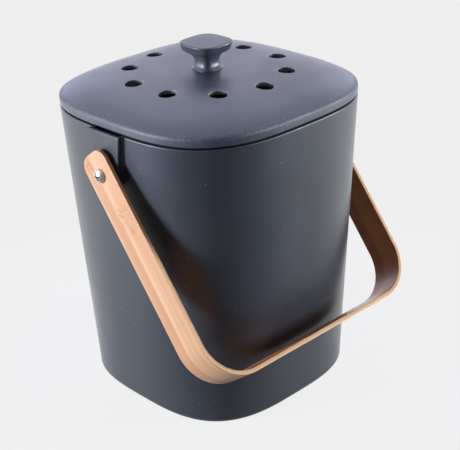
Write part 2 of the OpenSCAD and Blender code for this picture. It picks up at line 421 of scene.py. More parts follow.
def add_node(
    tree: NodeTree, kind: str, inputs: Mapping[str | int, object] | None = None, **settings: object
) -> Node:
    """Adds a shader node, sets its properties, and links or sets its inputs.

    Args:
        tree: The node tree.
        kind: The node's type name after "ShaderNode".
        inputs: What its inputs are fed with.
        **settings: Properties of the node.

    Returns:
        The node.
    """
    node = tree.nodes.new(f"ShaderNode{kind}")
    for name, value in settings.items():
        setattr(node, name, value)
    feed(tree, node, inputs or {})
    return node


def blank_tree(block: Material | bpy.types.World) -> NodeTree:
    """Turns on the nodes of a material or world and empties their tree."""
    block.use_nodes = True
    block.node_tree.nodes.clear()
    return block.node_tree


@dataclass(frozen=True)
class Finish:
    """A material, and the paint of its surface."""

    title: str

    def paint(self, tree: NodeTree) -> dict[str, object]:
        """Adds the patterns and gives what the surface's sockets are fed with."""
        raise NotImplementedError

    def material(self) -> Material:
        """Builds the material once and returns it."""
        made = bpy.data.materials.get(self.title)
        if made is not None:
            return made
        made = bpy.data.materials.new(self.title)
        tree = blank_tree(made)
        surface = add_node(tree, "BsdfPrincipled")
        add_node(tree, "OutputMaterial", {"Surface": surface.outputs["BSDF"]})
        feed(tree, surface, self.paint(tree))
        return made

    def dress(self, piece: Object) -> None:
        """Gives the finish to a piece."""
        piece.data.materials.clear()
        piece.data.materials.append(self.material())


def per_mm(size: float) -> float:
    """Pattern scale for one cell in so many millimetres."""
    return 1 / (size * MM)


@dataclass(frozen=True)
class MouldedFibreComposite(Finish):
    """Bamboo-fibre and resin composite, compression moulded: satin, with pale fibre specks."""

    body: str = "#3b3f47"
    cloud: str = "#42464e"
    speck: str = "#b4b5b8"
    roughness: float = 0.37
    speck_cell: float = 5.5
    mottle: float = 0.03
    worn_z: float | None = None

    def paint(self, tree: NodeTree) -> dict[str, object]:
        """Adds the patterns and gives what the surface's sockets are fed with."""
        place = add_node(tree, "TexCoord").outputs["Object"]
        # Filler settles in slow clouds about 30 mm across, which the eye reads as moulded, not painted.
        clouds = add_node(tree, "TexNoise", {"Vector": place, "Scale": per_mm(30), "Detail": 3.0})
        ground = add_node(
            tree, "Mix", {0: clouds, 6: linear(self.body), 7: linear(self.cloud)}, data_type="RGBA"
        )
        # Ground fibre shows as pale specks. Real ones are 0.1 to 0.3 mm wide; they are drawn about
        # 0.6 mm wide, because finer ones would not show at one pixel for 0.8 mm.
        cells = add_node(
            tree, "TexVoronoi", {"Vector": place, "Scale": per_mm(self.speck_cell), "Randomness": 1.0}
        )
        near = add_node(
            tree,
            "MapRange",
            {
                "Value": cells.outputs["Distance"],
                "From Min": 0.12 / self.speck_cell,
                "From Max": 0.46 / self.speck_cell,
                "To Min": 1.0,
                "To Max": 0.0,
            },
        )
        chance = add_node(tree, "SeparateColor", {"Color": cells.outputs["Color"]})
        picked = add_node(
            tree,
            "MapRange",
            {
                "Value": chance.outputs["Red"],
                "From Min": 0.55,
                "From Max": 1.0,
                "To Min": 0.0,
                "To Max": 0.8,
            },
        )
        amount = add_node(tree, "Math", {0: near, 1: picked}, operation="MULTIPLY")
        # A fine grain, 1.2 mm, breaks the ground up a little everywhere.
        grain = add_node(tree, "TexNoise", {"Vector": place, "Scale": per_mm(1.2), "Detail": 2.0})
        lift = add_node(
            tree,
            "MapRange",
            {"Value": grain, "From Min": 0.3, "From Max": 0.7, "To Min": 0.86, "To Max": 1.14},
        )
        grained = add_node(tree, "VectorMath", {0: ground.outputs[2], "Scale": lift}, operation="SCALE")
        rough = add_node(
            tree,
            "MapRange",
            {
                "Value": grain,
                "From Min": 0.2,
                "From Max": 0.8,
                "To Min": self.roughness - 0.04,
                "To Max": self.roughness + 0.05,
            },
        )
        # The sheen varies slowly too, where hands and cloths have been.
        sheen = add_node(
            tree,
            "MapRange",
            {
                "Value": clouds,
                "From Min": 0.3,
                "From Max": 0.7,
                "To Min": -self.mottle,
                "To Max": self.mottle,
            },
        )
        uneven = add_node(tree, "Math", {0: rough, 1: sheen}, operation="ADD")
        if self.worn_z is not None:
            amount, uneven = self.add_wear(tree, place, amount, uneven)
        colour = add_node(tree, "Mix", {0: amount, 6: grained, 7: linear(self.speck)}, data_type="RGBA")
        relief = add_node(tree, "Bump", {"Height": grain, "Distance": 0.05 * MM, "Strength": 0.35})
        # Filled melamine-type resin has a high index, near 1.55: its edges turn pale at grazing angles.
        return {"Base Color": colour.outputs[2], "Roughness": uneven, "IOR": 1.55, "Normal": relief}

    def add_wear(
        self, tree: NodeTree, place: NodeSocket, amount: Node, rough: Node
    ) -> tuple[Node, Node]:
        """Rubs the skin off along an edge, which dulls it and bares more of the pale fibre.

        Args:
            tree: The node tree.
            place: Place in the object.
            amount: How much fibre shows so far.
            rough: The roughness so far.

        Returns:
            The nodes that give how much fibre shows and the roughness.
        """
        height = add_node(tree, "SeparateXYZ", {"Vector": place}).outputs["Z"]
        off = add_node(tree, "Math", {0: height, 1: self.worn_z * MM}, operation="SUBTRACT")
        away = add_node(tree, "Math", {0: off}, operation="ABSOLUTE")
        near = add_node(
            tree,
            "MapRange",
            {"Value": away, "From Min": 0.7 * MM, "From Max": 2.2 * MM, "To Min": 1.0, "To Max": 0.0},
        )
        # Bared fibre ends are 0.2 mm wide; 0.9 mm is the finest that shows.
        ends = add_node(tree, "TexNoise", {"Vector": place, "Scale": per_mm(0.9), "Detail": 3.0})
        bared = add_node(
            tree, "MapRange", {"Value": ends, "From Min": 0.5, "From Max": 0.7, "To Max": 0.3}
        )
        edge = add_node(tree, "Math", {0: near, 1: bared}, operation="MULTIPLY")
        shown = add_node(tree, "Math", {0: amount, 1: edge}, operation="MAXIMUM")
        dulled = add_node(tree, "Math", {0: near, 1: 0.2, 2: rough}, operation="MULTIPLY_ADD")
        return shown, dulled


@dataclass(frozen=True)
class NodeMark:
    """Where a bamboo stem's joint shows in the strip, in millimetres along and across it."""

    along: float
    across: float
    half_length: float
    half_width: float


@dataclass(frozen=True)
class LaminatedBamboo(Finish):
    """Bamboo strips glued side by side, planed, steam bent and lacquered: long fine fibres."""

    light: str = "#dfb389"
    dark: str = "#cc9263"
    streak: str = "#c9875a"
    mark: str = "#ad6238"
    # Multiplies the inner face, darker and warmer: painted shade.
    inside: str = "#eec89a"
    # The sawn edges' own tan, drawn paler as painted light on the edges.
    edge: str = "#fdca90"
    slat: float = 8.4
    slat_shift: float = 0.62
    marks: tuple[NodeMark, ...] = ()

    def paint(self, tree: NodeTree) -> dict[str, object]:
        """Adds the patterns and gives what the surface's sockets are fed with."""
        strip = add_node(
            tree, "Attribute", attribute_name="strip", attribute_type="GEOMETRY"
        ).outputs["Vector"]
        parts = add_node(tree, "SeparateXYZ", {"Vector": strip})
        along, across, depth = (parts.outputs[i] for i in range(3))
        # Glue lines wander less than 0.5 mm along the strip.
        wander = add_node(tree, "TexNoise", {"Vector": strip, "Scale": per_mm(60), "Detail": 1.0})
        drift = add_node(tree, "MapRange", {"Value": wander, "To Min": -0.5 * MM, "To Max": 0.5 * MM})
        shifted = add_node(tree, "Math", {0: across, 1: drift}, operation="ADD")
        counted = add_node(
            tree, "Math", {0: shifted, 1: per_mm(self.slat), 2: self.slat_shift}, operation="MULTIPLY_ADD"
        )
        number = add_node(tree, "Math", {0: counted}, operation="FLOOR")
        # The middle slat is the palest and the one behind it the most orange, as in the photograph.
        phase = add_node(tree, "Math", {0: number, 1: 2.0, 2: -1.0}, operation="MULTIPLY_ADD")
        wave = add_node(tree, "Math", {0: phase}, operation="SINE")
        tone = add_node(tree, "Math", {0: wave, 1: 0.5, 2: 0.5}, operation="MULTIPLY_ADD")
        # Fibre bundles run the length of the stem. They are 0.3 to 0.6 mm wide and are drawn about
        # 1 mm wide, the finest that shows.
        stretched = add_node(
            tree,
            "VectorMath",
            {0: strip, 1: (per_mm(70), per_mm(1.5), per_mm(1.5))},
            operation="MULTIPLY",
        )
        fibre = add_node(
            tree, "TexNoise", {"Vector": stretched, "Scale": 1.0, "Detail": 4.0, "Roughness": 0.6}
        )
        broad_place = add_node(
            tree, "VectorMath", {0: strip, 1: (per_mm(160), per_mm(6), per_mm(6))}, operation="MULTIPLY"
        )
        broad = add_node(tree, "TexNoise", {"Vector": broad_place, "Scale": 1.0, "Detail": 2.0})
        blend = add_node(tree, "Math", {0: tone, 1: 0.45, 2: broad}, operation="MULTIPLY_ADD")
        ground_share = add_node(tree, "MapRange", {"Value": blend, "From Min": 0.35, "From Max": 1.0})
        ground = add_node(
            tree,
            "Mix",
            {0: ground_share, 6: linear(self.light), 7: linear(self.dark)},
            data_type="RGBA",
        )
        streak_share = add_node(
            tree, "MapRange", {"Value": fibre, "From Min": 0.48, "From Max": 0.66, "To Max": 0.55}
        )
        streaked = add_node(
            tree,
            "Mix",
            {0: streak_share, 6: ground.outputs[2], 7: linear(self.streak)},
            data_type="RGBA",
        )
        colour = self.add_marks(tree, strip, along, across, streaked.outputs[2])
        colour = self.add_sides(tree, across, depth, colour)
        colour = self.add_plies(tree, depth, colour)
        relief = add_node(tree, "Bump", {"Height": fibre, "Distance": 0.06 * MM, "Strength": 0.3})
        # A thin clear lacquer: sharper pale reflections at grazing angles, over satin wood.
        lacquer = {"Coat Weight": 0.2, "Coat Roughness": 0.22}
        return {"Base Color": colour, "Roughness": 0.42, "IOR": 1.5, "Normal": relief, **lacquer}

    def add_marks(
        self,
        tree: NodeTree,
        strip: NodeSocket,
        along: NodeSocket,
        across: NodeSocket,
        colour: NodeSocket,
    ) -> NodeSocket:
        """Draws the stem's joints, where short brown flecks cross the fibres.

        Args:
            tree: The node tree.
            strip: Place in the strip.
            along: Length along the strip.
            across: Width across the strip.
            colour: The colour so far.

        Returns:
            The colour with the marks.
        """
        near: NodeSocket | None = None
        for mark in self.marks:
            u = add_node(
                tree,
                "Math",
                {0: along, 1: per_mm(mark.half_length), 2: -mark.along / mark.half_length},
                operation="MULTIPLY_ADD",
            )
            v = add_node(
                tree,
                "Math",
                {0: across, 1: per_mm(mark.half_width), 2: -mark.across / mark.half_width},
                operation="MULTIPLY_ADD",
            )
            place = add_node(tree, "CombineXYZ", {"X": u, "Y": v})
            reach = add_node(tree, "VectorMath", {0: place}, operation="LENGTH")
            inside = add_node(
                tree,
                "MapRange",
                {
                    "Value": reach.outputs["Value"],
                    "From Min": 0.55,
                    "From Max": 1.15,
                    "To Min": 1.0,
                    "To Max": 0.0,
                },
                interpolation_type="SMOOTHSTEP",
            ).outputs[0]
            near = (
                inside
                if near is None
                else add_node(tree, "Math", {0: near, 1: inside}, operation="MAXIMUM").outputs[0]
            )
        if near is None:
            return colour
        # Flecks at a joint are 1 to 3 mm long, slanted across the fibres.
        slanted = add_node(
            tree, "VectorRotate", {"Vector": strip, "Angle": math.radians(28)}, rotation_type="Z_AXIS"
        )
        stretched = add_node(
            tree,
            "VectorMath",
            {0: slanted, 1: (per_mm(4.5), per_mm(2.0), per_mm(3.0))},
            operation="MULTIPLY",
        )
        flecks = add_node(
            tree,
            "TexNoise",
            {"Vector": stretched, "Scale": 1.0, "Detail": 3.0, "Roughness": 0.7, "Distortion": 0.8},
        )
        fleck = add_node(
            tree, "MapRange", {"Value": flecks, "From Min": 0.5, "From Max": 0.62, "To Max": 0.55}
        )
        amount = add_node(tree, "Math", {0: fleck, 1: near}, operation="MULTIPLY")
        return add_node(
            tree, "Mix", {0: amount, 6: colour, 7: linear(self.mark)}, data_type="RGBA"
        ).outputs[2]

    def add_sides(
        self, tree: NodeTree, across: NodeSocket, depth: NodeSocket, colour: NodeSocket
    ) -> NodeSocket:
        """Darkens and warms the inner face as painted shade, and evens the sawn edges to a paler tan that
        is partly painted light.

        Args:
            tree: The node tree.
            across: Width across the strip.
            depth: Depth in the strip's thickness, outward.
            colour: The colour so far.

        Returns:
            The colour with both.
        """
        # From 1.1 mm inward of the strip's middle, the inner face is multiplied by a warm brown: painted
        # shade.
        shaded_face = add_node(
            tree, "MapRange", {"Value": depth, "From Min": -1.1 * MM, "From Max": -1.4 * MM}
        )
        shade_painted = add_node(
            tree,
            "Mix",
            {0: shaded_face, 6: colour, 7: linear(self.inside)},
            data_type="RGBA",
            blend_type="MULTIPLY",
        )
        # The sawn edges take their own tan, drawn paler as painted light.
        off = add_node(tree, "Math", {0: across}, operation="ABSOLUTE")
        sawn = add_node(
            tree,
            "MapRange",
            {"Value": off, "From Min": 13.1 * MM, "From Max": 13.4 * MM, "To Max": 0.85},
        )
        return add_node(
            tree, "Mix", {0: sawn, 6: shade_painted.outputs[2], 7: linear(self.edge)}, data_type="RGBA"
        ).outputs[2]

    def add_plies(self, tree: NodeTree, depth: NodeSocket, colour: NodeSocket) -> NodeSocket:
        """Draws the thin brown glue lines between the plies, which show on the strip's edges.

        Args:
            tree: The node tree.
            depth: Depth in the strip's thickness.
            colour: The colour so far.

        Returns:
            The colour with the glue lines.
        """
        # Three plies of 1 mm: glue lines at 0.5 mm each side of the middle.
        away = add_node(tree, "Math", {0: depth}, operation="ABSOLUTE")
        off = add_node(tree, "Math", {0: away, 1: 0.5 * MM}, operation="SUBTRACT")
        gap = add_node(tree, "Math", {0: off}, operation="ABSOLUTE")
        line = add_node(
            tree,
            "MapRange",
            {"Value": gap, "From Min": 0.06 * MM, "From Max": 0.24 * MM, "To Min": 0.3, "To Max": 0.0},
        )
        return add_node(
            tree, "Mix", {0: line, 6: colour, 7: linear(self.mark)}, data_type="RGBA"
        ).outputs[2]


@dataclass(frozen=True)
class PlatedSteel(Finish):
    """Nickel-plated steel, barrel finished: bright, with fine handling scratches."""

    body: str = "#cfcdc4"
    dull: str = "#b5b2a8"
    roughness: float = 0.3

    def paint(self, tree: NodeTree) -> dict[str, object]:
        """Adds the patterns and gives what the surface's sockets are fed with."""
        place = add_node(tree, "TexCoord").outputs["Object"]
        # Barrel finishing leaves faint dull patches about 1.5 mm across.
        patches = add_node(tree, "TexNoise", {"Vector": place, "Scale": per_mm(1.5), "Detail": 4.0})
        rough = add_node(
            tree,
            "MapRange",
            {
                "Value": patches,
                "From Min": 0.3,
                "From Max": 0.7,
                "To Min": self.roughness - 0.06,
                "To Max": self.roughness + 0.1,
            },
        )
        tint = add_node(
            tree, "Mix", {0: patches, 6: linear(self.body), 7: linear(self.dull)}, data_type="RGBA"
        )
        relief = add_node(tree, "Bump", {"Height": patches, "Distance": 0.02 * MM, "Strength": 0.2})
        return {"Base Color": tint.outputs[2], "Roughness": rough, "Metallic": 1.0, "Normal": relief}


@dataclass(frozen=True)
class TurnedBrass(Finish):
    """Brass bar, turned: warm yellow metal with fine rings from the tool."""

    body: str = "#d9b25f"
    tarnish: str = "#a9803c"

    def paint(self, tree: NodeTree) -> dict[str, object]:
        """Adds the patterns and gives what the surface's sockets are fed with."""
        place = add_node(tree, "TexCoord").outputs["Object"]
        rings = add_node(
            tree,
            "TexWave",
            {"Vector": place, "Scale": per_mm(2.0), "Distortion": 0.3},
            wave_type="BANDS",
            bands_direction="Z",
        )
        stain = add_node(tree, "TexNoise", {"Vector": place, "Scale": per_mm(4), "Detail": 3.0})
        tint = add_node(
            tree, "Mix", {0: stain, 6: linear(self.body), 7: linear(self.tarnish)}, data_type="RGBA"
        )
        relief = add_node(
            tree, "Bump", {"Height": rings.outputs["Fac"], "Distance": 0.03 * MM, "Strength": 0.4}
        )
        return {"Base Color": tint.outputs[2], "Metallic": 1.0, "Roughness": 0.3, "Normal": relief}


@dataclass(frozen=True)
class MouldedSilicone(Finish):
    """Black silicone rubber, moulded: matt, with a bloom of dust."""

    body: str = "#141518"
    dusty: str = "#202126"

    def paint(self, tree: NodeTree) -> dict[str, object]:
        """Adds the patterns and gives what the surface's sockets are fed with."""
        place = add_node(tree, "TexCoord").outputs["Object"]
        # Dust clings in soft patches of 5 mm or so.
        dust = add_node(tree, "TexNoise", {"Vector": place, "Scale": per_mm(5), "Detail": 5.0})
        tint = add_node(
            tree, "Mix", {0: dust, 6: linear(self.body), 7: linear(self.dusty)}, data_type="RGBA"
        )
        relief = add_node(tree, "Bump", {"Height": dust, "Distance": 0.05 * MM, "Strength": 0.2})
        return {"Base Color": tint.outputs[2], "Roughness": 0.62, "IOR": 1.41, "Normal": relief}


@dataclass(frozen=True)
class CarbonFelt(Finish):
    """Needled polyester felt loaded with carbon: black, fibrous, no shine."""

    body: str = "#1b1c1e"
    fibre: str = "#36383b"

    def paint(self, tree: NodeTree) -> dict[str, object]:
        """Adds the patterns and gives what the surface's sockets are fed with."""
        place = add_node(tree, "TexCoord").outputs["Object"]
        # Matted fibres; the real ones are 0.03 mm, drawn as 0.8 mm wisps.
        wisps = add_node(
            tree,
            "TexNoise",
            {"Vector": place, "Scale": per_mm(2.2), "Detail": 8.0, "Roughness": 0.8, "Distortion": 2.5},
        )
        share = add_node(tree, "MapRange", {"Value": wisps, "From Min": 0.45, "From Max": 0.7})
        tint = add_node(
            tree, "Mix", {0: share, 6: linear(self.body), 7: linear(self.fibre)}, data_type="RGBA"
        )
        relief = add_node(tree, "Bump", {"Height": wisps, "Distance": 0.5 * MM, "Strength": 0.8})
        return {"Base Color": tint.outputs[2], "Roughness": 1.0, "Sheen Weight": 0.2, "Normal": relief}


@dataclass(frozen=True)
class MouldedPlastic(Finish):
    """Injection-moulded thermoplastic with a spark-eroded texture."""

    body: str = "#26282c"
    roughness: float = 0.5

    def paint(self, tree: NodeTree) -> dict[str, object]:
        """Adds the patterns and gives what the surface's sockets are fed with."""
        place = add_node(tree, "TexCoord").outputs["Object"]
        # The texture's pits are 0.1 mm, drawn at 0.8 mm.
        pits = add_node(tree, "TexNoise", {"Vector": place, "Scale": per_mm(0.8), "Detail": 2.0})
        flow = add_node(tree, "TexNoise", {"Vector": place, "Scale": per_mm(18), "Detail": 2.0})
        lift = add_node(tree, "MapRange", {"Value": flow, "To Min": 0.85, "To Max": 1.15})
        tint = add_node(
            tree, "VectorMath", {0: linear(self.body)[:3], "Scale": lift}, operation="SCALE"
        )
        relief = add_node(tree, "Bump", {"Height": pits, "Distance": 0.05 * MM, "Strength": 0.3})
        return {"Base Color": tint, "Roughness": self.roughness, "IOR": 1.5, "Normal": relief}


# The tub is the lid's composite drawn darker: its darker body and cloud are painted shade on the tub's
# sides.
SHADED_TUB_COMPOSITE = MouldedFibreComposite("moulded_fibre_composite_tub_shaded", body="#2d3036", cloud="#33363c")
LID_COMPOSITE = MouldedFibreComposite(
    "moulded_fibre_composite_lid", cloud="#484c55", speck_cell=3.4, mottle=0.06, worn_z=216.0
)
# Cut composite shows more of its pale fibre; the vent walls are drawn paler still, as painted light falling
# into the vents.
CUT_AND_LIT_COMPOSITE = MouldedFibreComposite(
    "moulded_fibre_composite_cut_and_lit", body="#7d8087", cloud="#8c8f95", speck="#c9cbce", speck_cell=2.4
)
STEEL = PlatedSteel("nickel_plated_steel")
# A punched recess is duller, and its darker colour is painted shade, so the cross reads darker than the
# head.
SHADED_RECESS_STEEL = PlatedSteel("punched_steel_recess_shaded", body="#4d4b40", roughness=0.5)
SLEEVE_STEEL = PlatedSteel("drawn_steel_sleeve", body="#bfc1c4", roughness=0.32)
BRASS = TurnedBrass("turned_brass")
SILICONE = MouldedSilicone("moulded_silicone")
FELT = CarbonFelt("carbon_felt")
COVER_PLASTIC = MouldedPlastic("moulded_polypropylene")
NYLON = MouldedPlastic("natural_nylon", body="#d6d4c9", roughness=0.4)
BAMBOO = LaminatedBamboo(
    "laminated_bamboo",
    marks=(
        NodeMark(-9, 7, 6, 4.5),
        NodeMark(34, -4, 13, 9),
        NodeMark(168, 8, 9, 6),
        NodeMark(236, -6, 10, 8),
        NodeMark(331, 5, 9, 7),
        NodeMark(412, -7, 11, 7),
        NodeMark(478, 4, 8, 8),
    ),
)


def body_of(node: str) -> str:
    """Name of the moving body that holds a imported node."""
    groups = frame["record"]["behaviour"]["bodies"]
    return next(name for name, members in groups.items() if node in members)


def stand_for(piece: Object, node: str, finish: Finish) -> None:
    """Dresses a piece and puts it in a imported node's place.

    Args:
        piece: The refined piece.
        node: The node that it stands for.
        finish: Its finish.
    """
    finish.dress(piece)
    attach(piece, body_of(node))
    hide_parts(node)
    LOG.info("%s: %d faces, stands for %s", piece.name, len(piece.data.polygons), node)


def keep_node(node: str, finish: Finish) -> None:
    """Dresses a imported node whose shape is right.

    Args:
        node: The node.
        finish: Its finish.
    """
    finish.dress(frame["nodes"][node])
    LOG.info("%s: packed solid kept", node)


# ---------------------------------------------------------------------------------------------
# Sub-assemblies
# ---------------------------------------------------------------------------------------------


@dataclass
class Tub:
    """The tapering rounded-square tub with a raised pad at each pivot."""

    rim_half: float = 90
    base_half: float = 79.4
    rim_z: float = 209
    power: float = 3.15
    wall: float = 2.6
    floor_t: float = 3.5
    base_edge: float = 5
    rim_edge: float = 0.9
    lip_edge: float = 0.7
    inner_fillet: float = 6
    pad_x: float = 93.4
    pad_r: float = 11.2
    pad_draft: float = 8
    pad_wall: float = 2.4
    pad_edge: float = 0.7
    pad_fillet: float = 0.7
    slot_under: float = 8
    slot_over: float = 4.6
    pivot_z: float = 180.9
    bore: float = 2.6
    sides: int = 288

    def half(self, z: float) -> float:
        """Half width of the outside at a height."""
        return self.base_half + (self.rim_half - self.base_half) * z / self.rim_z

    def profile(self) -> list[Step]:
        """Section from the middle of the base, up the outside, over the rim and down the inside."""
        low = self.half(self.base_edge) - self.base_edge
        wall_top = self.rim_z - self.rim_edge
        inner_rim = self.rim_half - self.wall
        fillet_z = self.floor_t + self.inner_fillet
        inner_floor = self.half(fillet_z) - self.wall - self.inner_fillet
        outside = [(self.half(z), z) for z in np.linspace(self.base_edge, wall_top, 30)[1:-1]]
        inner_top = self.rim_z - self.lip_edge
        run, rise = self.half(fillet_z) - self.wall - inner_rim, fillet_z - inner_top
        inside = [(inner_rim + run * t, inner_top + rise * t) for t in np.linspace(0, 1, 24)[1:-1]]
        return [
            *[(low * t, 0.0) for t in (0.15, 0.4, 0.65, 0.85)],
            *arc(low, self.base_edge, self.base_edge, -90, 0, 12),
            *outside,
            *arc(self.half(wall_top) - self.rim_edge, wall_top, self.rim_edge, 0, 90, 6),
            *arc(inner_rim + self.lip_edge, inner_top, self.lip_edge, 90, 180, 5),
            *inside,
            *arc(inner_floor, fillet_z, self.inner_fillet, 0, -90, 10),
            *[(inner_floor * t, self.floor_t) for t in (0.85, 0.65, 0.4, 0.15)],
        ]

    def pad_line(self, inset: float, top_z: float) -> np.ndarray:
        """Outline of a pad in (y, z), drawn in by an inset.

        Args:
            inset: How far the outline moves in, all round.
            top_z: Height of its top edge before the inset.

        Returns:
            Rows of y, z around the outline.
        """
        draft = math.radians(self.pad_draft)
        r = self.pad_r - inset
        top = top_z - inset
        turns = np.linspace(-draft, draft - math.pi, 33)
        round_end = np.stack([r * np.cos(turns), self.pivot_z + r * np.sin(turns)], axis=1)
        top_half = (r + (top - self.pivot_z) * math.sin(draft)) / math.cos(draft)
        right = np.linspace([top_half, top], round_end[0], 14)[:-1]
        left = np.linspace(round_end[-1], [-top_half, top], 14)[1:]
        across = np.linspace([-top_half, top], [top_half, top], 16)[1:-1]
        line = np.vstack([right, round_end, left, across])
        line[:, 1] = np.minimum(line[:, 1], top_z)
        return line

    def surface_x(self, line: np.ndarray) -> np.ndarray:
        """How far out the tub's side stands at points (y, z)."""
        half = self.half(line[:, 1])
        return half * (1 - (np.abs(line[:, 0]) / half) ** self.power) ** (1 / self.power)

    def pad_shell(
        self, side: int, rings: Sequence[tuple[float | np.ndarray, np.ndarray]], top_z: float
    ) -> Object:
        """A pad-shaped solid through outlines of a pad.

        Args:
            side: 1 for right, -1 for left.
            rings: (x, outline) of each ring, outward.
            top_z: Height of the top edge.

        Returns:
            The object.
        """
        shell = Shell()
        made = []
        for x, line in rings:
            out = np.broadcast_to(x, len(line))
            made.append(shell.ring(np.stack([side * out, side * line[:, 0], line[:, 1]], axis=1)))
        shell.skin(made)
        for row, x in ((made[0], rings[0][0]), (made[-1], rings[-1][0])):
            shell.fan(row, (side * x, 0, (self.pivot_z + top_z) / 2))
        return shell.object("pad")

    def pad(self, side: int, root: float) -> Object:
        """A raised pad with a fillet at its foot, where it runs out of the tub's side.

        Args:
            side: 1 for right, -1 for left.
            root: X of its hidden end, inside the wall.

        Returns:
            The object.
        """
        rings = []
        for t in np.linspace(0, math.pi / 2, 7):
            line = self.pad_line(-self.pad_fillet * (1 - math.sin(t)), self.rim_z)
            lift = self.pad_fillet * (1 - math.cos(t)) - 0.02
            rings.append((self.surface_x(line) + lift, line))
        rings.insert(0, (root, rings[0][1]))
        edge = self.pad_edge
        for t in np.linspace(0, math.pi / 2, 6):
            line = self.pad_line(edge - edge * math.cos(t), self.rim_z)
            rings.append((self.pad_x - edge + edge * math.sin(t), line))
        return self.pad_shell(side, rings, self.rim_z)

    def pivot_place(self, side: int, x: float) -> Matrix:
        """Place on the pivot axis at a distance from the middle, with Z pointing outward."""
        return Matrix.Translation((side * x, 0, self.pivot_z)) @ Matrix.Rotation(side * math.pi / 2, 4, "Y")

    def build(self) -> Object:
        """Builds the tub with its pads, slots and screw bores."""
        tub = loft("tub_shell", self.profile(), self.power, self.sides)
        root = (self.rim_half - self.wall + self.half(self.pivot_z - self.pad_r)) / 2
        combine(tub, [self.pad(side, root) for side in (-1, 1)], Join.ADD)
        inner_x = self.pad_x - self.pad_wall
        slot_top = self.rim_z + self.slot_over
        slot_line = self.pad_line(self.wall, slot_top)
        slot_rings = [(root - self.slot_under, slot_line), (inner_x, slot_line)]
        slots = [self.pad_shell(side, slot_rings, slot_top) for side in (-1, 1)]
        bores = [rod("bore", self.bore, 0, 6, 40, self.pivot_place(side, inner_x - 1)) for side in (-1, 1)]
        combine(tub, [*slots, *bores], Join.CUT)
        shade(tub)
        stand_for(tub, "bin_body", SHADED_TUB_COMPOSITE)
        return tub


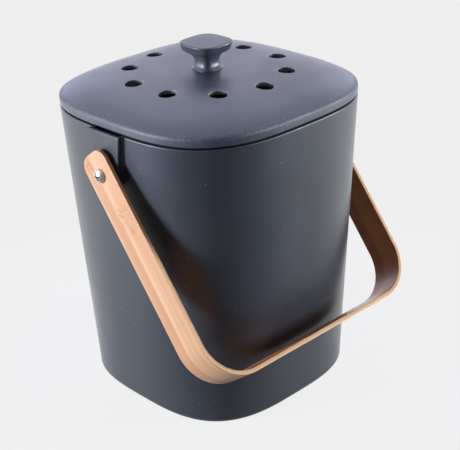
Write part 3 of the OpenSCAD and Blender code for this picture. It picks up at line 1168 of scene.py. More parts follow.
@dataclass
class Lid:
    """The domed lid with ten vent holes, its skirt, and the seat of the filter collar."""

    tub: Tub
    gap: float = 1.4
    band: float = 5.9
    dome: float = 12.3
    dome_power: float = 4.8
    vents: int = 10
    vent_circle: float = 54
    vent_r: float = 6.1
    vent_edge: float = 0.6
    skirt_half: float = 85
    skirt_t: float = 2.4
    skirt_depth: float = 7
    skirt_edge: float = 0.8
    groove: float = 3
    edge_r: float = 0.7
    crease_r: float = 3.0
    boss_r: float = 10
    boss_drop: float = 3
    boss_edge: float = 0.5
    screw_hole_r: float = 2.75
    collar_in: float = 68.4
    collar_out: float = 70.6
    collar_over_dome: float = 2.7
    sides: int = 288

    @property
    def low_z(self) -> float:
        """Height of the lid's lower edge."""
        return self.tub.rim_z + self.gap

    @property
    def dome_z(self) -> float:
        """Height of the foot of the dome."""
        return self.low_z + self.band

    @property
    def top_z(self) -> float:
        """Height of the top of the dome."""
        return self.dome_z + self.dome

    @property
    def skirt_z(self) -> float:
        """Height of the skirt's lower end."""
        return self.tub.rim_z - self.skirt_depth

    @property
    def collar_top(self) -> float:
        """Height at which the filter collar meets its seat."""
        return self.dome_z + self.collar_over_dome

    @property
    def boss_z(self) -> float:
        """Height of the underside of the boss."""
        return self.top_z - self.tub.wall - self.boss_drop

    def surface(self, share: float) -> float:
        """Height of the dome at a share of the half width."""
        return self.dome_z + self.dome * (1 - share**self.dome_power)

    def height_at(self, x: np.ndarray, y: np.ndarray) -> np.ndarray:
        """Height of the dome over points.

        Args:
            x: X of the points.
            y: Y of the points.

        Returns:
            Z for each point.
        """
        power = self.tub.power
        share = (np.abs(x) ** power + np.abs(y) ** power) ** (1 / power) / self.tub.rim_half
        return self.dome_z + self.dome * (1 - share**self.dome_power)

    def profile(self) -> list[Step]:
        """Section from the middle of the ceiling, down the skirt, out and over the dome."""
        half = self.tub.rim_half
        wall = self.tub.wall
        skirt_in = self.skirt_half - self.skirt_t
        groove_half = half - wall
        e = self.skirt_edge
        groove_z = self.low_z + self.groove
        ceiling = [(s * half, self.surface(s) - wall) for s in np.linspace(0.04, skirt_in / half, 22)]
        # The crease's arc ends where it meets the foot of the dome's slope.
        slope = self.dome * self.dome_power / half
        turn = math.atan2(1, slope)
        inset = self.crease_r * (1 - math.cos(turn))
        crease_z = self.dome_z + slope * inset - self.crease_r * math.sin(turn)
        start = inset / half + 0.004
        dome = [(s * half, self.surface(s)) for s in 1 - np.linspace(start**0.8, 0.97, 44) ** 1.25]
        return [
            *ceiling,
            (skirt_in, self.skirt_z + 0.4),
            (skirt_in + 0.4, self.skirt_z),
            *arc(self.skirt_half - e, self.skirt_z + e, e, -90, 0, 4),
            (self.skirt_half, groove_z),
            (groove_half, groove_z),
            (groove_half, self.low_z + 0.2),
            (groove_half + 0.2, self.low_z),
            *arc(half - self.edge_r, self.low_z + self.edge_r, self.edge_r, -90, 0, 6),
            *arc(half - self.crease_r, crease_z, self.crease_r, 0, math.degrees(turn), 8),
            *dome,
        ]

    def vent_cutter(self, angle: float) -> Object:
        """A cutter that leaves a vent hole with a rounded edge along the dome.

        Args:
            angle: Direction of the hole from the middle, in radians.

        Returns:
            The object.
        """
        e = self.vent_edge
        steps = [(self.vent_r + e + 0.04, 2.0), (self.vent_r + e + 0.04, 0.03)]
        steps += [
            (self.vent_r + e - e * math.sin(t), -e + e * math.cos(t))
            for t in np.linspace(0.15, math.pi / 2, 7)
        ]
        around = np.arange(64) * 2 * math.pi / 64
        cx, cy = self.vent_circle * math.cos(angle), self.vent_circle * math.sin(angle)
        shell = Shell()
        rings = []
        for r, lift in steps:
            x, y = cx + r * np.cos(around), cy + r * np.sin(around)
            rings.append(shell.ring(np.stack([x, y, self.height_at(x, y) + lift], axis=1)))
        x, y = cx + self.vent_r * np.cos(around), cy + self.vent_r * np.sin(around)
        rings.append(shell.ring(np.stack([x, y, np.full(64, self.dome_z + 1)], axis=1)))
        shell.skin(rings)
        shell.fan(rings[0], (cx, cy, self.top_z + 2.5))
        shell.fan(rings[-1], (cx, cy, self.dome_z + 1))
        return shell.object("vent")

    def housing(self) -> list[Object]:
        """The seat of the filter collar and the boss of the knob's screw, as closed meshes."""
        seat_top = self.surface(self.collar_out / self.tub.rim_half) - 0.5
        seat = [
            (self.collar_in, self.collar_top),
            (self.collar_out, self.collar_top),
            (self.collar_out, seat_top),
            (self.collar_in, seat_top),
        ]
        boss_top = self.top_z - 1
        edge = self.boss_edge
        boss = [
            (0, self.boss_z),
            (self.boss_r - edge, self.boss_z),
            (self.boss_r, self.boss_z + edge),
            (self.boss_r, boss_top),
            (0, boss_top),
        ]
        return [lathe("seat", seat, 144), lathe("boss", boss, 96)]

    def build(self) -> Object:
        """Builds the lid with its vents, the filter's seat and the boss."""
        lid = loft("lid_shell", self.profile(), self.tub.power, self.sides)
        combine(lid, self.housing(), Join.ADD)
        cutters = [self.vent_cutter(2 * math.pi * (i + 0.5) / self.vents) for i in range(self.vents)]
        hole = rod("screw_hole", self.screw_hole_r, self.boss_z - 1, self.top_z + 1, 40)
        combine(lid, [*cutters, hole], Join.CUT)
        shade(lid)
        stand_for(lid, "lid", LID_COMPOSITE)
        self.pale_vent_walls(lid)
        return lid

    def pale_vent_walls(self, lid: Object) -> None:
        """Gives the walls of the vent holes a paler finish: partly the paler cut composite, partly painted
        light on the walls.
        """
        lid.data.materials.append(CUT_AND_LIT_COMPOSITE.material())
        angles = 2 * math.pi * (np.arange(self.vents) + 0.5) / self.vents
        axes = self.vent_circle * np.stack([np.cos(angles), np.sin(angles)], axis=1)
        reach = self.vent_r + 0.8 * self.vent_edge
        for face in lid.data.polygons:
            middle = np.array(face.center) / MM
            if middle[2] > self.dome_z and np.hypot(*(axes - middle[:2]).T).min() < reach:
                face.material_index = 1


@dataclass
class LidSeal:
    """The black seal: a bead in the lid's groove, a flat on the rim and a lip inside the tub."""

    lid: Lid
    sides: int = 288

    def build(self) -> Object:
        """Builds the seal."""
        tub = self.lid.tub
        inner = self.lid.skirt_half + 0.1
        bead = tub.rim_half - tub.wall - 0.1
        flat = tub.rim_half - 2.1
        rest = tub.rim_z + 0.05
        low = self.lid.low_z
        steps = [
            (inner, tub.rim_z - 2.6),
            (inner + 0.2, tub.rim_z - 2.8),
            *arc(inner + 0.9, tub.rim_z - 2.0, 0.8, -90, 0, 4),
            (inner + 1.55, tub.rim_z - 1.0),
            (inner + 1.4, rest),
            (flat - 0.3, rest),
            (flat - 0.08, rest + 0.08),
            (flat, rest + 0.3),
            (flat, low),
            (bead, low),
            (bead, low + 2.6),
            (bead - 0.2, low + 2.8),
            (inner + 0.2, low + 2.8),
            (inner, low + 2.6),
        ]
        seal = loft("seal_ring", steps, tub.power, self.sides, closed=True)
        shade(seal, 50)
        stand_for(seal, "lid_gasket", SILICONE)
        return seal


@dataclass
class Knob:
    """The flared square knob, with the hardware that holds it."""

    lid: Lid
    half: float = 15.8
    height: float = 19
    power: float = 3.25
    insert_r: float = 3.52
    hole_depth: float = 9.2
    sides: int = 128

    def profile(self) -> list[Step]:
        """Section from the flange up the neck and over the slab, above the lid."""
        neck = eased(
            [
                (9.3, 0.5), (8.95, 0.8), (8.5, 1.25), (8.05, 1.9), (7.6, 3.0), (7.35, 4.6), (7.5, 6.8),
                (8.2, 8.8), (9.4, 10.3), (11.4, 11.75), (13.5, 12.95), (14.35, 13.9), (14.75, 14.9),
            ],
            5,
        )
        slab = eased(
            [
                (14.75, 14.9), (15.1, 15.9), (15.5, 17.1), (15.75, 17.9), (15.72, 18.45), (15.35, 18.85),
                (14.6, 19.05), (12.5, 19.15), (9.5, 19.25), (6.0, 19.31), (3.2, 19.34),
            ],
            4,
        )
        return [(3.0, 0.0), (6.0, 0.0), (9.2, 0.0), (9.35, 0.15), *neck, *slab[1:], (1.2, 19.35)]

    def build(self) -> Object:
        """Builds the knob."""
        top = self.lid.top_z
        knob = loft("knob_flared", [(h, z + top) for h, z in self.profile()], self.power, self.sides)
        combine(knob, [rod("knob_hole", self.insert_r, top - 1, top + self.hole_depth, 40)], Join.CUT)
        shade(knob, 40)
        stand_for(knob, "lid_knob", LID_COMPOSITE)
        keep_node("knob_insert", BRASS)
        return knob


@dataclass
class PanScrew:
    """A pan-head machine screw with a cross recess."""

    node: str
    name: str
    length: float
    place: Matrix
    shank_r: float = 2.5
    head_r: float = 4.8
    head_h: float = 3.2
    rim_h: float = 1.15
    pitch: float = 0.8
    thread_depth: float = 0.38
    turn_deg: float = 15
    blade: tuple[tuple[float, float, float], ...] = ((1.0, 0.3, 1.15), (2.7, 0.6, 2.5), (3.1, 0.75, 3.6))
    recess_reach: float = 3.2

    def recess(self) -> list[Object]:
        """The cutters of the cross recess: two tapering blades and a pointed middle."""
        cutters = [lathe("recess_middle", [(0, 0.9), (0.5, 1.2), (1.35, 2.6), (1.5, 3.6), (0, 3.6)], 4)]
        for quarter in (0, 1):
            turn = math.radians(self.turn_deg + 90 * quarter)
            c, s = math.cos(turn), math.sin(turn)
            shell = Shell()
            rows = []
            for half_l, half_w, z in self.blade:
                corners = [(-half_l, -half_w), (half_l, -half_w), (half_l, half_w), (-half_l, half_w)]
                rows.append(shell.ring(np.array([[x * c - y * s, x * s + y * c, z] for x, y in corners])))
            shell.skin(rows)
            shell.faces += [tuple(rows[0]), tuple(rows[-1])]
            cutters.append(shell.object("recess"))
        return cutters

    def build(self) -> Object:
        """Builds the screw in its place."""
        dome = self.head_h - self.rim_h
        dome_r = (self.head_r**2 + dome**2) / (2 * dome)
        crown = [
            (dome_r * math.sin(t), self.head_h - dome_r + dome_r * math.cos(t))
            for t in np.linspace(math.asin(0.985 * self.head_r / dome_r), 0, 12)
        ]
        crown[-1] = (0.0, self.head_h)
        tip = -self.length
        thread = []
        z = tip + 0.6
        while z < -1.0:
            thread += [(self.shank_r, z), (self.shank_r - self.thread_depth, z + self.pitch / 2)]
            z += self.pitch
        profile = [
            (0, tip),
            (self.shank_r - 0.5, tip),
            *thread,
            (self.shank_r, -0.2),
            (self.shank_r, 0),
            (self.head_r - 0.25, 0),
            (self.head_r, 0.25),
            (self.head_r, self.rim_h - 0.2),
            *crown,
        ]
        screw = lathe(self.name, profile, 72)
        combine(screw, self.recess(), Join.CUT)
        metres = self.place.copy()
        metres.translation = self.place.translation * MM
        screw.data.transform(metres)
        shade(screw, 30)
        stand_for(screw, self.node, STEEL)
        # Faces that lie well under the dome, near the middle, belong to the recess and take its painted
        # shade.
        screw.data.materials.append(SHADED_RECESS_STEEL.material())
        back = metres.inverted()
        for face in screw.data.polygons:
            x, y, z = (back @ face.center) / MM
            depth = self.head_h - dome_r + math.sqrt(max(dome_r**2 - x * x - y * y, 0.0)) - z
            if math.hypot(x, y) < self.recess_reach and 0.08 < depth < self.head_h - 1:
                face.material_index = 1
        return screw


@dataclass
class TurnedRing:
    """A washer, sleeve or spacer: a ring with broken edges, from zero up its own Z."""

    node: str
    name: str
    inner: float
    outer: float
    length: float
    place: Matrix
    finish: Finish
    edge: float = 0.15

    def build(self) -> Object:
        """Builds the ring in its place."""
        r0, r1, h, e = self.inner, self.outer, self.length, self.edge
        section = [
            (r0 + e, 0), (r1 - e, 0), (r1, e), (r1, h - e), (r1 - e, h), (r0 + e, h), (r0, h - e), (r0, e),
        ]
        ring = lathe(self.name, section, 72, self.place)
        shade(ring, 30)
        stand_for(ring, self.node, self.finish)
        return ring


@dataclass
class LockNut:
    """A hexagon lock nut with chamfered corners and a round collar at its inner end."""

    node: str
    name: str
    place: Matrix
    flats: float = 8
    height: float = 5
    collar_t: float = 1.4
    collar_r: float = 3.7
    bore_r: float = 2.52
    sides: int = 144

    def build(self) -> Object:
        """Builds the nut in its place."""
        around = np.arange(self.sides) * 2 * math.pi / self.sides
        hexagon = self.flats / 2 / np.cos(around % (math.pi / 3) - math.pi / 6)
        corner = self.flats / 2 / math.cos(math.pi / 6)
        h, c = self.height, self.collar_t
        limits = [
            (self.bore_r + 0.3, 0), (self.collar_r - 0.35, 0), (self.collar_r, 0.35), (self.collar_r, c),
            (self.collar_r + 0.2, c), (corner, c + 0.5), (corner, h - 0.45), (self.flats / 2 - 0.1, h),
            (self.bore_r + 0.4, h), (self.bore_r, h - 0.4), (self.bore_r, 0.3),
        ]
        turn, move = np.array(self.place.to_3x3()), np.array(self.place.translation)
        shell = Shell()
        rings = []
        for limit, z in limits:
            r = np.minimum(hexagon, limit)
            points = np.stack([r * np.cos(around), r * np.sin(around), np.full(self.sides, z)], axis=1)
            rings.append(shell.ring(points @ turn.T + move))
        shell.skin([*rings, rings[0]])
        nut = shell.object(self.name)
        shade(nut, 25)
        stand_for(nut, self.node, STEEL)
        return nut


@dataclass
class KnobFixing:
    """The screw and washer that hold the knob from under the lid."""

    lid: Lid
    washer_r: float = 7.5
    washer_hole_r: float = 2.7
    washer_t: float = 1.2
    insert_len: float = 8

    def build(self) -> Object:
        """Builds the washer against the boss and the screw under it."""
        head_z = self.lid.boss_z - self.washer_t
        TurnedRing(
            "knob_washer", "washer_knob", self.washer_hole_r, self.washer_r, self.washer_t,
            Matrix.Translation((0, 0, head_z)), STEEL,
        ).build()
        down = Matrix.Translation((0, 0, head_z)) @ Matrix.Rotation(math.pi, 4, "X")
        length = self.lid.top_z + self.insert_len - head_z
        return PanScrew("knob_screw", "pan_screw_knob", length, down).build()


@dataclass
class FilterCollar:
    """The ring under the lid, with the three tabs and stops that the filter cover twists into."""

    lid: Lid
    low_z: float = 204.6
    tab_in: float = 66
    tab_t: float = 1.8
    stop_t: float = 1.7
    tab_half_deg: float = 18
    stop_deg: float = 2.5
    edge: float = 0.4
    sides: int = 192

    def build(self) -> Object:
        """Builds the ring, tabs and stops."""
        lid, low, e = self.lid, self.low_z, self.edge
        section = [
            (lid.collar_in, low + e),
            (lid.collar_in + e, low),
            (lid.collar_out - e, low),
            (lid.collar_out, low + e),
            (lid.collar_out, lid.collar_top),
            (lid.collar_in, lid.collar_top),
        ]
        collar = lathe("collar_ring", section, self.sides)
        root = lid.collar_in + 0.5
        tab_top = low + self.tab_t
        parts = []
        for i in range(3):
            start, end = 120 * i - self.tab_half_deg, 120 * i + self.tab_half_deg
            parts.append(sector(self.tab_in, root, low + 0.02, tab_top, start, end))
            stop_start = end - self.stop_deg
            parts.append(sector(self.tab_in, root, low + e, tab_top + self.stop_t, stop_start, end))
        combine(collar, parts, Join.ADD)
        shade(collar, 30)
        stand_for(collar, "filter_collar", LID_COMPOSITE)
        return collar


@dataclass
class FilterCover:
    """The grille that twists into the collar under the pad, with a bar to grip it by."""

    collar: FilterCollar
    radius: float = 65.4
    low_z: float = 206.6
    plate_t: float = 1.7
    lug_out: float = 68
    lug_half_deg: float = 15
    lip_w: float = 3
    slots: int = 24
    slot_w: float = 3
    slot_from: float = 26
    slot_to: float = 58
    grip_len: float = 52
    grip_w: float = 5
    grip_h: float = 8
    grip_edge: float = 1.6
    edge: float = 0.4

    def slotted(self) -> Object:
        """The cutter of all the slots, which have round ends."""
        r = self.slot_w / 2
        low, high = self.low_z - 1, self.low_z + self.plate_t + 1
        ends = np.linspace(-math.pi / 2, math.pi / 2, 9)
        outer = [(self.slot_to - r + r * math.cos(t), r * math.sin(t)) for t in ends]
        inner = [(self.slot_from + r - r * math.cos(t), -r * math.sin(t)) for t in ends]
        flat = np.array([*outer, *inner])
        shell = Shell()
        for i in range(self.slots):
            turn = 2 * math.pi * (i + 0.5) / self.slots
            c, s = math.cos(turn), math.sin(turn)
            x, y = flat[:, 0] * c - flat[:, 1] * s, flat[:, 0] * s + flat[:, 1] * c
            rows = [shell.ring(np.stack([x, y, np.full(len(x), z)], axis=1)) for z in (low, high)]
            shell.bridge(*rows)
            shell.faces += [tuple(rows[0]), tuple(rows[1])]
        return shell.object("slots")

    def grip(self) -> Object:
        """The grip bar: a long round-ended bar with a rounded lower edge and a little draft."""
        rounding = self.grip_edge
        top, bottom = self.low_z + 0.6, self.low_z - self.grip_h
        steps = [
            (rounding * (1 - math.sin(t)), bottom + rounding * (1 - math.cos(t)))
            for t in np.linspace(0, math.pi / 2, 6)
        ]
        ends = np.linspace(-math.pi / 2, math.pi / 2, 13)
        shell = Shell()
        rows = []
        for inset, z in [*steps, (0.0, top)]:
            r = self.grip_w / 2 - inset
            reach = self.grip_len / 2 - inset - r
            right = [(reach + r * math.cos(t), r * math.sin(t), z) for t in ends]
            left = [(-x, -y, z) for x, y, _ in right]
            rows.append(shell.ring(np.array([*right, *left])))
        shell.skin(rows)
        shell.faces += [tuple(rows[0]), tuple(rows[-1])]
        return shell.object("grip")

    def build(self) -> Object:
        """Builds the cover."""
        r, e = self.radius, self.edge
        lip_low, top = self.collar.low_z, self.low_z + self.plate_t
        lip_in = r - self.lip_w
        section = [
            (0, self.low_z),
            *[(lip_in * share, self.low_z) for share in (0.1, 0.5, 0.9)],
            (lip_in - e, self.low_z),
            (lip_in, self.low_z - e),
            (lip_in, lip_low + e),
            (lip_in + e, lip_low),
            (r - e, lip_low),
            (r, lip_low + e),
            (r, top - e),
            (r - e, top),
            *[(lip_in * share, top) for share in (0.9, 0.5, 0.1)],
            (0, top),
        ]
        cover = lathe("filter_grille", section, 192)
        lugs = [
            sector(
                r - 1, self.lug_out, self.low_z + 0.02, top - 0.02,
                120 * i - self.lug_half_deg, 120 * i + self.lug_half_deg, 0.1,
            )
            for i in range(3)
        ]
        combine(cover, [*lugs, self.grip()], Join.ADD)
        combine(cover, [self.slotted()], Join.CUT)
        shade(cover, 30)
        stand_for(cover, "filter_cover", COVER_PLASTIC)
        return cover


@dataclass
class FeltPad:
    """The carbon pad behind the vents."""

    radius: float = 67.9
    thickness: float = 8
    low_z: float = 208.6
    edge: float = 1.6
    waves: int = 24
    seed: int = 7

    def build(self) -> Object:
        """Builds the pad as a slightly uneven felt disc."""
        top, edge = self.low_z + self.thickness, self.edge
        section = [
            *[(r, self.low_z) for r in np.linspace(2, self.radius - edge, 26)],
            *arc(self.radius - edge, self.low_z + edge, edge, -75, 0, 5),
            *arc(self.radius - edge, top - edge, edge, 0, 75, 5),
            *[(r, top) for r in np.linspace(self.radius - edge, 2, 26)],
        ]
        felt = lathe("felt_pad", [(0, self.low_z), *section, (0, top)], 144)
        random = np.random.default_rng(self.seed)
        waves = [
            (random.uniform(0.05, 0.35, 2), random.uniform(0, 6.28), random.uniform(0.007, 0.02))
            for _ in range(self.waves)
        ]
        for vertex in felt.data.vertices:
            x, y, z = (c / MM for c in vertex.co)
            if math.hypot(x, y) > self.radius - edge - 1:
                continue
            dip = sum(a * (1 + math.sin(k[0] * x + k[1] * y + p)) for k, p, a in waves)
            vertex.co.z += (dip if z < (self.low_z + top) / 2 else -dip) * MM
        shade(felt, 60)
        stand_for(felt, "charcoal_filter", FELT)
        return felt


@dataclass
class Bail:
    """The handle, bent from one flat laminated strip."""

    half_span: float = 97
    thickness: float = 3
    width: float = 27
    length: float = 156.6
    bend_r: float = 30.2
    over: float = 15.8
    end_r: float = 9
    edge: float = 0.55
    rest_deg: float = 37.3
    pivot_z: float = 180.9
    hole_r: float = 3.56
    across_points: int = 12
    edge_steps: int = 4

    @property
    def leg(self) -> float:
        """Length from a pivot to the start of its bend."""
        return self.length - self.bend_r

    @property
    def bar(self) -> float:
        """Length of the straight bar."""
        return 2 * (self.half_span - self.bend_r)

    @property
    def reach(self) -> float:
        """Length along the strip from pivot to pivot."""
        return 2 * self.leg + self.bar + math.pi * self.bend_r

    def stations(self) -> list[tuple[float, float, float, float]]:
        """Rows along the flat strip: along, half width, and the edge's outward normal in two parts."""
        half = self.width / 2
        first = -self.over
        r = self.end_r
        start = [
            (first + r * (1 - math.cos(t)), half - r * (1 - math.sin(t)), -math.cos(t), math.sin(t))
            for t in np.linspace(0, math.pi / 2, 13)
        ]
        middle_start, middle_end = first + self.end_r, self.reach + self.over - self.end_r
        rows = int((middle_end - middle_start) / 2.0)
        middle = [(s, half, 0.0, 1.0) for s in np.linspace(middle_start, middle_end, rows)[1:-1]]
        end = [(self.reach - s, w, -ns, nw) for s, w, ns, nw in reversed(start)]
        return [*start, *middle, *end]

    def flat_strip(self) -> Object:
        """The strip before bending: x along, y across, z through its thickness."""
        shell = Shell()
        flat = self.thickness / 2
        e = self.edge
        turn = np.linspace(math.pi / 2, 0, self.edge_steps + 1)
        insets = e - e * np.cos(turn)
        rises = flat - e + e * np.sin(turn)
        loops = []
        for s, w, ns, nw in self.stations():
            reach = w - e * nw
            top = [(s - e * ns, t, flat) for t in np.linspace(-reach, reach, self.across_points)]
            right = [(s - i * ns, w - i * nw, z) for i, z in zip(insets[1:], rises[1:])]
            right_low = [(x, y, -z) for x, y, z in reversed(right)]
            bottom = [(x, y, -z) for x, y, z in reversed(top)]
            left = [(x, -y, z) for x, y, z in right_low]
            left_top = [(x, -y, z) for x, y, z in right]
            row = [*top, *right, *right_low, *bottom, *left, *reversed(left_top)]
            loops.append(shell.ring(np.array(row)))
        shell.skin(loops)
        self.close_end(shell, loops[0])
        self.close_end(shell, loops[-1])
        return shell.object("strip")

    def close_end(self, shell: Shell, loop: list[int]) -> None:
        """Closes one end of the flat strip with its own rounded edge.

        Args:
            shell: The strip's shell.
            loop: Indices of the end row: its top, right edge, bottom and left edge.
        """
        points = np.concatenate(shell.points)
        n, side = self.across_points, 2 * self.edge_steps
        left = [loop[0], *reversed(loop[2 * n + side :]), loop[2 * n + side - 1]]
        right = loop[n - 1 : n + side + 1]
        profile = points[right[1:-1]]
        columns = [left]
        for j in range(1, n - 1):
            inner = profile.copy()
            inner[:, 1] = points[loop[j]][1]
            columns.append([loop[j], *shell.ring(inner), loop[2 * n + side - 1 - j]])
        columns.append(right)
        shell.skin(columns, closed=False)

    def bend(self, flat: np.ndarray) -> np.ndarray:
        """Moves points of the flat strip onto the resting bail.

        Args:
            flat: Rows of along, across and depth, in millimetres.

        Returns:
            Rows of x, y, z.
        """
        along, across, depth = flat[:, 0], flat[:, 1], flat[:, 2]
        quarter = math.pi / 2 * self.bend_r
        bent = self.leg + quarter
        marks = [self.leg, bent, bent + self.bar, self.leg + 2 * quarter + self.bar]
        x, h = np.empty_like(along), np.empty_like(along)
        outer_x, outer_h = np.empty_like(along), np.empty_like(along)
        left = along <= marks[0]
        x[left], h[left] = -self.half_span, -along[left]
        outer_x[left], outer_h[left] = -1, 0
        turn = (along > marks[0]) & (along <= marks[1])
        a = (along[turn] - marks[0]) / self.bend_r
        x[turn] = -self.half_span + self.bend_r - self.bend_r * np.cos(a)
        h[turn] = -self.leg - self.bend_r * np.sin(a)
        outer_x[turn], outer_h[turn] = -np.cos(a), -np.sin(a)
        bar = (along > marks[1]) & (along <= marks[2])
        x[bar] = -self.half_span + self.bend_r + along[bar] - marks[1]
        h[bar] = -self.length
        outer_x[bar], outer_h[bar] = 0, -1
        turn = (along > marks[2]) & (along <= marks[3])
        a = (along[turn] - marks[2]) / self.bend_r
        x[turn] = self.half_span - self.bend_r + self.bend_r * np.sin(a)
        h[turn] = -self.length + self.bend_r - self.bend_r * np.cos(a)
        outer_x[turn], outer_h[turn] = np.sin(a), -np.cos(a)
        right = along > marks[3]
        x[right], h[right] = self.half_span, -self.leg + along[right] - marks[3]
        outer_x[right], outer_h[right] = 1, 0
        x += depth * outer_x
        h += depth * outer_h
        rest = math.radians(self.rest_deg)
        y = across * math.cos(rest) + h * math.sin(rest)
        z = self.pivot_z - across * math.sin(rest) + h * math.cos(rest)
        return np.stack([x, y, z], axis=1)

    def build(self) -> Object:
        """Builds the bail, with its place in the flat strip kept for the grain."""
        bail = self.flat_strip()
        bail.name = "bail_strip"
        holes = [
            rod("hole", self.hole_r, -4, 4, 48, Matrix.Translation((s, 0, 0))) for s in (0.0, self.reach)
        ]
        combine(bail, holes, Join.CUT)
        mesh = bail.data
        flat = np.empty(len(mesh.vertices) * 3)
        mesh.vertices.foreach_get("co", flat)
        strip = mesh.attributes.new("strip", "FLOAT_VECTOR", "POINT")
        strip.data.foreach_set("vector", flat.astype(np.float32))
        bent = self.bend(flat.reshape(-1, 3) / MM) * MM
        mesh.vertices.foreach_set("co", bent.ravel())
        mesh.update()
        shade(bail, 40)
        stand_for(bail, "bamboo_handle", BAMBOO)
        return bail


@dataclass
class Pivot:
    """The screw and small hardware that one end of the bail turns on."""

    side: int
    tub: Tub
    bail: Bail
    screw_r: float = 2.5
    bush_r: float = 3.5
    spacer_r: float = 7
    washer_r: float = 5
    running: float = 0.1
    washer_t: float = 1
    nut_t: float = 5
    tip: float = 1.2

    def at(self, x: float) -> Matrix:
        """Place on this side's pivot axis, at a distance from the middle."""
        return self.tub.pivot_place(self.side, x)

    def build(self) -> Object:
        """Builds the screw, sleeve, spacer, washer and nut."""
        word = "right" if self.side > 0 else "left"
        head_x = self.bail.half_span + self.bail.thickness / 2 + self.running
        bail_x = self.bail.half_span - self.bail.thickness / 2 - self.running
        pad_x = self.tub.pad_x
        inner_x = pad_x - self.tub.pad_wall
        nut_x = inner_x - self.washer_t - self.nut_t
        TurnedRing(
            f"pivot_bush_{word}", f"sleeve_{word}", self.screw_r + 0.05, self.bush_r,
            head_x - pad_x, self.at(pad_x), SLEEVE_STEEL,
        ).build()
        TurnedRing(
            f"pivot_spacer_{word}", f"spacer_{word}", self.bush_r + 0.05, self.spacer_r,
            bail_x - pad_x, self.at(pad_x), NYLON, 0.25,
        ).build()
        TurnedRing(
            f"pivot_washer_{word}", f"washer_{word}", self.screw_r + 0.1, self.washer_r,
            self.washer_t, self.at(inner_x - self.washer_t), STEEL,
        ).build()
        LockNut(f"pivot_nut_{word}", f"lock_nut_{word}", self.at(nut_x)).build()
        return PanScrew(
            f"handle_screw_{word}", f"pan_screw_{word}", head_x - nut_x + self.tip, self.at(head_x)
        ).build()


# ---------------------------------------------------------------------------------------------
# Studio
# ---------------------------------------------------------------------------------------------


@dataclass(frozen=True)
class Softbox:
    """A lamp with a white cloth front that looks at the object, placed from where the camera stands."""

    name: str
    turn_deg: float
    rise_deg: float
    width: float
    height: float
    watts: float
    colour: str = "#ffffff"
    away: float = 2.0
    aim_z: float = 0.1

    def build(self, azimuth: float) -> None:
        """Adds the lamp.

        Args:
            azimuth: The camera's turn around the object, which the lamp's own turn is measured from.
        """
        data = bpy.data.lights.new(self.name, "AREA")
        data.shape = "RECTANGLE"
        data.size, data.size_y = self.width, self.height
        data.energy = self.watts
        data.color = linear(self.colour)[:3]
        turn, rise = math.radians(self.turn_deg) - azimuth, math.radians(self.rise_deg)
        outward = Vector(
            (math.sin(turn) * math.cos(rise), -math.cos(turn) * math.cos(rise), math.sin(rise))
        )
        lamp = bpy.data.objects.new(self.name, data)
        lamp.location = outward * self.away + Vector((0, 0, self.aim_z))
        lamp.rotation_mode = "QUATERNION"
        lamp.rotation_quaternion = (-outward).to_track_quat("-Z", "Y")
        lamp.visible_camera = False
        bpy.context.scene.collection.objects.link(lamp)


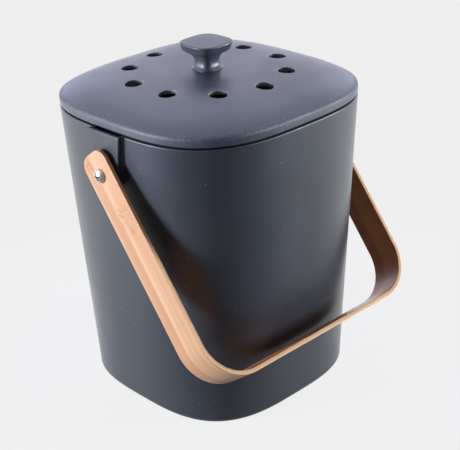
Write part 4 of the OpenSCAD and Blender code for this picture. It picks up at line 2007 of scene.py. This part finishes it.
@dataclass
class Studio:
    """Camera, pale floor, plain backdrop and soft lamps."""

    azimuth: float = 0.7475646
    elevation: float = 0.448
    roll: float = -0.046
    distance: float = 869.83
    aim_z: float = 104.87
    focal_px: float = 1201.53
    centre_px: tuple[float, float] = (214.80, 231.82)
    frame_px: tuple[int, int] = (460, 450)
    backdrop: str = "#eeeeee"
    card: str = "#cfd0d6"
    card_share: float = 0.84
    near_glow: float = 1.15
    fade_from: float = 0.1
    fade_to: float = 0.34
    dim_side: str = "#0a0b0d"
    bright_side: str = "#e9e9ff"
    mirror_level: float = 1.72
    ambient: str = "#f2f5ff"
    ambient_level: float = 0.03
    floor_half: float = 6.0
    floor_z: float = -0.02
    floor_lines: int = 9

    def camera(self) -> None:
        """Adds the camera at the photograph's viewing angle."""
        back = Vector(
            (
                -math.sin(self.azimuth) * math.cos(self.elevation),
                -math.cos(self.azimuth) * math.cos(self.elevation),
                math.sin(self.elevation),
            )
        )
        right = (-back).cross(Vector((0, 0, 1))).normalized()
        up = right.cross(-back)
        turned_right = right * math.cos(self.roll) + up * math.sin(self.roll)
        turned_up = up * math.cos(self.roll) - right * math.sin(self.roll)
        data = bpy.data.cameras.new("camera")
        data.sensor_width = 36
        data.lens = self.focal_px / self.frame_px[0] * data.sensor_width
        data.shift_x = (self.frame_px[0] / 2 - self.centre_px[0]) / self.frame_px[0]
        data.shift_y = (self.centre_px[1] - self.frame_px[1] / 2) / self.frame_px[0]
        data.clip_start, data.clip_end = 0.01, 100
        camera = bpy.data.objects.new("camera", data)
        place = Vector((0, 0, self.aim_z * MM)) + back * self.distance * MM
        axes = Matrix((turned_right, turned_up, back)).transposed().to_4x4()
        camera.matrix_world = Matrix.Translation(place) @ axes
        bpy.context.scene.collection.objects.link(camera)
        bpy.context.scene.camera = camera

    def behind(self, tree: NodeTree, place: NodeSocket, start: float, end: float) -> NodeSocket:
        """How far a place or a direction lies behind the object, from 0 to 1.

        Args:
            tree: The node tree.
            place: The place or direction.
            start: Distance along the line of sight that gives 0.
            end: Distance that gives 1.

        Returns:
            The share.
        """
        away = (math.sin(self.azimuth), math.cos(self.azimuth), 0.0)
        along = add_node(tree, "VectorMath", {0: place, 1: away}, operation="DOT_PRODUCT")
        return add_node(
            tree,
            "MapRange",
            {"Value": along.outputs["Value"], "From Min": start, "From Max": end},
            interpolation_type="SMOOTHSTEP",
        ).outputs[0]

    def mirror_rays(self, tree: NodeTree, rays: Node) -> NodeSocket:
        """Whether a ray left a glossy or a clear surface."""
        return add_node(
            tree,
            "Math",
            {0: rays.outputs["Is Glossy Ray"], 1: rays.outputs["Is Transmission Ray"]},
            operation="MAXIMUM",
        ).outputs[0]

    def backdrop_world(self) -> None:
        """A plain pale world, bright behind the object in reflections and dim on the camera's side."""
        world = bpy.data.worlds.new("backdrop")
        bpy.context.scene.world = world
        tree = blank_tree(world)
        rays = add_node(tree, "LightPath")
        sky = add_node(tree, "TexCoord").outputs["Generated"]
        seen = add_node(tree, "Background", {"Color": linear(self.backdrop), "Strength": 1.0})
        mirror_tone = add_node(
            tree,
            "Mix",
            {
                0: self.behind(tree, sky, -1.0, 0.0),
                6: linear(self.dim_side),
                7: linear(self.bright_side),
            },
            data_type="RGBA",
        )
        mirrored = add_node(
            tree, "Background", {"Color": mirror_tone.outputs[2], "Strength": self.mirror_level}
        )
        light = add_node(
            tree, "Background", {"Color": linear(self.ambient), "Strength": self.ambient_level}
        )
        inner = add_node(tree, "MixShader", {0: self.mirror_rays(tree, rays), 1: light, 2: mirrored})
        outer = add_node(tree, "MixShader", {0: rays.outputs["Is Camera Ray"], 1: inner, 2: seen})
        add_node(tree, "OutputWorld", {"Surface": outer})

    def fade(self, tree: NodeTree, away: NodeSocket, near: float) -> Node:
        """A level that goes from its value near the object to 1 in the distance.

        Args:
            tree: The node tree.
            away: Distance from the object.
            near: The value near the object.

        Returns:
            The node that gives the level.
        """
        return add_node(
            tree,
            "MapRange",
            {
                "Value": away,
                "From Min": self.fade_from,
                "From Max": self.fade_to,
                "To Min": near,
                "To Max": 1.0,
            },
            interpolation_type="SMOOTHSTEP",
        )

    def floor_material(self) -> Material:
        """Pale card: it keeps the object's shadow near it and fades into the backdrop."""
        made = bpy.data.materials.new("studio_card")
        tree = blank_tree(made)
        place = add_node(tree, "TexCoord").outputs["Object"]
        away = add_node(tree, "VectorMath", {0: place}, operation="LENGTH").outputs["Value"]
        share = self.fade(tree, away, self.card_share)
        rays = add_node(tree, "LightPath")
        mirror_rays = self.mirror_rays(tree, rays)
        mirrored = add_node(
            tree,
            "Math",
            {0: self.behind(tree, place, -0.15, 0.1), 1: mirror_rays},
            operation="MULTIPLY",
        )
        # The glow near the object makes up for the share of card, which is darker than the backdrop.
        near_level = self.fade(tree, away, self.near_glow)
        level = add_node(
            tree,
            "Math",
            {0: mirror_rays, 1: self.mirror_level - 1.0, 2: near_level},
            operation="MULTIPLY_ADD",
        )
        seen = add_node(
            tree,
            "Math",
            {0: share, 1: rays.outputs["Is Camera Ray"], 2: mirrored},
            operation="MULTIPLY_ADD",
        )
        card = add_node(tree, "BsdfDiffuse", {"Color": linear(self.card), "Roughness": 0.0})
        glow = add_node(tree, "Emission", {"Color": linear(self.backdrop), "Strength": level})
        mixed = add_node(tree, "MixShader", {0: seen, 1: card, 2: glow})
        add_node(tree, "OutputMaterial", {"Surface": mixed})
        return made

    def floor(self) -> None:
        """Adds the floor, as a grid so that it shades evenly."""
        reach = self.floor_half / MM
        shell = Shell()
        lines = np.linspace(-reach, reach, self.floor_lines)
        rows = [shell.ring(np.array([[x, y, self.floor_z] for x in lines])) for y in lines]
        shell.skin(rows, closed=False)
        card = shell.object("studio_floor")
        card.data.materials.append(self.floor_material())

    def build(self) -> None:
        """Sets up the whole studio."""
        self.camera()
        self.backdrop_world()
        self.floor()
        for lamp in (
            Softbox("wall_left", -75, 4, 0.5, 0.6, 68, "#e4eeff"),
            Softbox("wall_right", 90, 4, 0.5, 0.6, 50, "#e8f2ff"),
            Softbox("back_right", 140, 25, 1.2, 1.0, 6, "#d8dcff"),
            Softbox("back_left", -150, 20, 1.2, 1.0, 3, "#b8ccff"),
            Softbox("top_left", -30, 62, 1.2, 1.0, 3.5, "#fffaf2"),
            Softbox("top_back", 180, 55, 1.5, 1.0, 6, "#c0d0ff"),
        ):
            lamp.build(self.azimuth)
        bpy.context.scene.view_settings.view_transform = "Standard"


def main() -> None:
    """Builds and dresses the caddy, piece by piece."""
    logging.basicConfig(level=logging.INFO, format="%(name)s: %(message)s")
    tub = Tub()
    lid = Lid(tub)
    collar = FilterCollar(lid)
    bail = Bail()
    pieces = [
        tub,
        lid,
        LidSeal(lid),
        Knob(lid),
        KnobFixing(lid),
        collar,
        FilterCover(collar),
        FeltPad(),
        bail,
        Pivot(-1, tub, bail),
        Pivot(1, tub, bail),
    ]
    for piece in pieces:
        piece.build()
    Studio().build()


if __name__ == "__main__":
    main()
